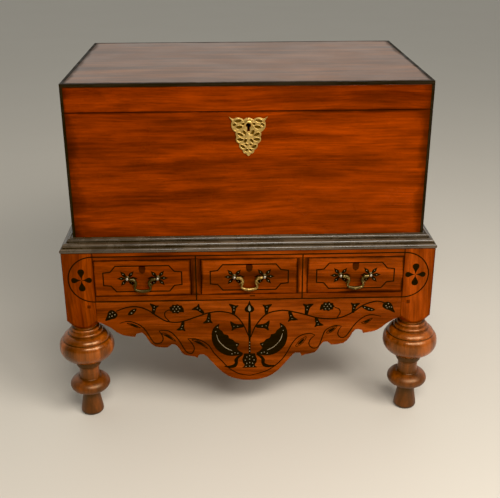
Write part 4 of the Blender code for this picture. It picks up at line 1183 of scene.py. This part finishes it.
class PierceScutcheon(bpy.types.Operator):
    """Makes the pierced and lobed brass plate round the keyhole"""
    bl_idname = "marriage_chest.pierce_scutcheon"
    bl_label = "Pierce the keyhole plate"

    flat: length("Flat", "Thickness of the plate between its rounded edges", 0.0004)
    rounding: length("Rounding", "Radius of the plate's rounded edges", 0.0009)
    ridge: length("Ridge", "Radius of the beads along the plate's ribs", 0.0009)
    margin: length("Margin", "From the plate's edge and slots to the middle of a bead", 0.0013)
    horn: length("Horn", "Length over which the outer bead tapers off in a horn", 0.016)
    spread: share("Spread", "Share of the plate's box that its lobes reach across", 0.975)
    eye: share("Eye", "Height of the keyhole's eye as a share of the plate's", 0.782)
    # The backing is a dark sheet of painted shade, with smudges, behind the plate's piercings.
    backing: share("Backing", "Size of the dirt behind the plate as a share of the plate's", 0.94)

    # Slots between the ribs on the right side: middle, half length, half width and tilt in degrees
    SLOTS = ((25.6, 90.0, 8.0, 3.7, -13), (35.0, 80.6, 4.6, 3.0, -40), (23.0, 74.6, 7.8, 3.9, -8),
             (13.4, 82.6, 3.2, 2.9, 0), (10.4, 61.2, 6.2, 3.2, 64), (20.4, 55.8, 7.6, 3.6, 28),
             (20.4, 43.2, 7.4, 3.5, 3), (8.0, 39.8, 5.4, 3.2, -56), (5.4, 30.2, 2.9, 2.6, 0),
             (14.2, 25.2, 6.3, 3.4, 34), (4.9, 16.4, 3.7, 2.7, -42))
    # A pin's turned profile, and its place on the right side
    PIN = ((2.0, -0.3), (2.0, 0.2), (1.7, 0.8), (1.0, 1.2), (0.3, 1.35))
    PIN_PLACE = Vector((12.6, 76.8)) * MM

    def rim(self, wide, high):
        """The plate's outline, from its foot up the right side and down the left."""
        lobes = ((0.10, 0.088, 0.35), (0.26, 0.173, 0.75), (0.43, 0.335, 0.55), (0.59, 0.500, 0.60),
                 (0.61, 0.616, 0.35), (0.82, 0.885, 0.45), (1.0, 1.0, -0.10), (0.76, 0.930, -0.20),
                 (0.26, 0.912, 0.35), (0.0, 0.960, 0.12))
        right = [Vector((0.0, 0.02 * high))]
        for across, up, bulge in lobes:
            right += arc(right[-1], (wide * across, high * up), bulge)
        return right + mirrored(reversed(right[1:-1]))

    def piercings(self, grown=0.0):
        """The slots on both sides, grown by some millimetres."""
        loops = []
        for x, z, half_length, half_width, tilt in self.SLOTS:
            loop = put(ellipse((0, 0), half_length + grown, half_width + grown, 0, 345, 23), (x, z), tilt)
            loops += [loop, mirrored(loop)]
        return loops

    def slot_bead(self, loop):
        """A raised bead round a slot."""
        return tube([(x / MM, z / MM, self.ridge / MM) for x, z in (*loop, loop[0])], 12)

    def rim_bead(self, rim, tip):
        """A raised bead inside the rim, which tapers off in the two horns."""
        path = []
        for index in range(len(rim) + 1):
            before, here, after = (rim[(index + step) % len(rim)] for step in (-1, 0, 1))
            run = (after - before).normalized()
            full = min(1.0, (Vector((abs(here.x), here.y)) - tip).length / self.horn)
            x, z = (here + full * self.margin * Vector((-run.y, run.x))) / MM
            path.append((x, z, max(0.1, full) * self.ridge / MM))
        return tube(path, 12)

    def keyhole(self, eye, radius, slot, foot):
        """A round eye over a slot."""
        throat = math.degrees(math.asin(slot / radius))
        loop = ellipse((0, eye), radius, radius, 270 - throat, throat - 90, 24)
        return put([*loop, (slot, foot), (-slot, foot)])

    def plate(self, context, loops, flat, rounding):
        """A pierced upright plate with rounded edges."""
        drawn = bpy.data.curves.new("plate_outline", "CURVE")
        drawn.dimensions = "2D"
        drawn.fill_mode = "BOTH"
        drawn.extrude = flat / 2
        drawn.bevel_depth = rounding
        drawn.offset = -rounding
        drawn.bevel_resolution = 3
        for loop in loops:
            line = drawn.splines.new("POLY")
            line.points.add(len(loop) - 1)
            line.use_cyclic_u = True
            for point, (x, z) in zip(line.points, loop):
                point.co = (x, z, 0.0, 1.0)
        outline = bpy.data.objects.new("plate_outline", drawn)
        context.scene.collection.objects.link(outline)
        mesh = bpy.data.meshes.new_from_object(outline.evaluated_get(context.evaluated_depsgraph_get()))
        bpy.data.objects.remove(outline)
        bpy.data.curves.remove(drawn)
        shape = bmesh.new()
        shape.from_mesh(mesh)
        bpy.data.meshes.remove(mesh)
        bmesh.ops.remove_doubles(shape, verts=shape.verts, dist=0.000001)
        shape.transform(FORWARD)
        return shape

    def collar(self, eye, steps=30):
        """A raised crescent over the keyhole's eye."""
        path = []
        for step, (x, z) in enumerate(ellipse((0, eye), 8.8, 9.2, -30, 210, steps)):
            path.append((x, z, 1.4 + 2.2 * math.sin(math.pi * step / steps)))
        return tube(path)

    def boss(self, middle, reach, rise):
        """A low rounded diamond in the plate's middle."""
        rings = []
        for size, up in ((1.0, -0.3), (0.96, 0.35), (0.72, 0.80), (0.36, 0.97), (0.06, 1.0)):
            ring = []
            for turn in full_turn(48):
                x = math.copysign(abs(math.cos(turn)) ** 1.6, math.cos(turn))
                z = math.copysign(abs(math.sin(turn)) ** 1.6, math.sin(turn))
                ring.append((reach * size * x * MM, -rise * up * MM, (middle + reach * size * z) * MM))
            rings.append(ring)
        return lofted(rings)

    def execute(self, context):
        own = context.scene.chest_inlay
        low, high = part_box("escutcheon")
        wide, tall = self.spread * (high.x - low.x) / 2, high.z - low.z
        eye = self.eye * tall / MM
        rim = self.rim(wide, tall)
        front = self.flat / 2 + self.rounding
        loops = [rim, *self.piercings(), self.keyhole(eye, radius=6.2, slot=3.4, foot=63.5)]
        shape = self.plate(context, loops, self.flat, self.rounding)
        raised = [self.rim_bead(rim, Vector((wide, tall)))]
        raised += [self.slot_bead(loop) for loop in self.piercings(self.margin / MM)]
        for made in (*raised, self.collar(eye), self.boss(middle=51.5, reach=8.8, rise=1.8)):
            join(shape, made, Matrix.Translation((0, -front, 0)))
        for x, z in mirrored([self.PIN_PLACE]) + [self.PIN_PLACE]:
            join(shape, turned(self.PIN, 24), Matrix.Translation((x, -front, z)) @ FORWARD)

        # A dark sheet behind the plate, which paints shade and smudges into its piercings.
        lower = Vector((0, tall * (1 - self.backing) / 2))
        backing = [self.backing * point + lower for point in rim]
        loops = [backing, self.keyhole(eye, radius=5.7, slot=2.7, foot=63.6)]
        piece("keyhole_dirt_and_shade", self.plate(context, loops, own.lift + own.sink, 0.0),
              dark_patch("keyhole_wood", "dirt"), "chest", "stand_wood",
              place=Matrix.Translation((0, CHEST_FACE + (own.sink - own.lift) / 2, low.z)))
        piece("keyhole_plate", shape, brass("plate_brass", tarnished=0.12), "chest", "brass", "escutcheon",
              place=Matrix.Translation((0, high.y - front, low.z)), sharp=45.0)
        return {"FINISHED"}


class SetStage(bpy.types.Operator):
    """Sets the floor, the soft light and the camera"""
    bl_idname = "marriage_chest.set_stage"
    bl_label = "Set the stage"

    def floor(self, context, reach):
        shape = bmesh.new()
        bmesh.ops.create_circle(shape, cap_ends=True, segments=64, radius=reach)
        mesh = bpy.data.meshes.new("floor")
        shape.to_mesh(mesh)
        shape.free()
        floor = bpy.data.objects.new("floor", mesh)
        context.scene.collection.objects.link(floor)
        mesh.materials.append(pale_floor("pale_floor"))

    def room(self, own):
        """Soft light from all round, weaker before the chest than behind it."""
        world = bpy.data.worlds.new("room")
        sky = Finish(world, "Background")
        depth = sky.add("SeparateXYZ", {0: sky.add("TexCoord", {})["Generated"]})["Y"]
        fade = sky.span(depth, -0.4, 0.7, own.sky_front, own.sky_back, "LINEAR")
        sky.set(Color=(*own.sky, 1.0), Strength=fade)
        return world

    def soft_light(self, context, name, place, size, watts):
        """A soft light that shines on the middle of the chest's front."""
        target = Vector((0.0, -0.2, 0.45))
        lamp = bpy.data.lights.new(name, "AREA")
        lamp.shape = "RECTANGLE"
        lamp.size, lamp.size_y = size
        lamp.energy = watts
        lamp.color = context.scene.chest_stage.lamp
        made = bpy.data.objects.new(name, lamp)
        made.location = place
        made.rotation_euler = (target - Vector(place)).to_track_quat("-Z", "Y").to_euler()
        context.scene.collection.objects.link(made)

    def camera(self, context, own):
        camera = bpy.data.objects.new("camera", bpy.data.cameras.new("camera"))
        camera.data.lens = own.lens
        camera.location = own.camera_place
        aim = Euler((math.pi / 2 - own.camera_pitch, 0.0, -own.camera_yaw)).to_matrix()
        camera.rotation_euler = (aim @ Matrix.Rotation(-own.camera_roll, 3, "Z")).to_euler()
        context.scene.collection.objects.link(camera)
        context.scene.camera = camera

    def execute(self, context):
        own = context.scene.chest_stage
        self.floor(context, own.floor_reach)
        context.scene.world = self.room(own)
        self.soft_light(context, "key_light", (1.9, -2.0, 2.6), (1.5, 1.5), own.key_power)
        self.soft_light(context, "top_light", (0.3, -2.6, 2.7), (1.5, 0.7), own.top_power)
        self.camera(context, own)
        view = context.scene.view_settings
        view.view_transform = "Standard"
        view.use_curve_mapping = True
        view.curve_mapping.black_level = own.shade
        view.curve_mapping.update()
        return {"FINISHED"}


SETTINGS = (("chest_woods", WoodSettings), ("chest_metals", MetalSettings), ("chest_inlay", InlaySettings),
            ("chest_stage", StageSettings))
OPERATORS = (SetStage, DressBoards, DressLock, TurnLegs, RunMouldings, InlayStand, InlayDrawers, InlayApron,
             HangHandles, PierceScutcheon)


class ChestPanel(bpy.types.Panel):
    """Settings and steps of the chest's looks"""
    bl_idname = "VIEW3D_PT_marriage_chest"
    bl_label = "Marriage chest"
    bl_space_type = "VIEW_3D"
    bl_region_type = "UI"
    bl_category = "Chest"

    def draw(self, context):
        for name, group in SETTINGS:
            box = self.layout.box()
            for setting in group.__annotations__:
                box.prop(getattr(context.scene, name), setting)
        for step in OPERATORS:
            self.layout.operator(step.bl_idname)


def register():
    for name, group in SETTINGS:
        bpy.utils.register_class(group)
        setattr(bpy.types.Scene, name, bpy.props.PointerProperty(type=group))
    for made in (*OPERATORS, ChestPanel):
        bpy.utils.register_class(made)


def unregister():
    for made in reversed((*OPERATORS, ChestPanel)):
        bpy.utils.unregister_class(made)
    for name, group in reversed(SETTINGS):
        delattr(bpy.types.Scene, name)
        bpy.utils.unregister_class(group)


def main():
    register()
    steps = bpy.ops.marriage_chest
    steps.set_stage()
    steps.dress_boards()
    steps.dress_lock()
    steps.turn_legs()
    steps.run_mouldings()
    steps.inlay_stand()
    steps.inlay_drawers()
    steps.inlay_apron()
    steps.hang_handles()
    steps.pierce_scutcheon()


if __name__ == "__main__":
    main()
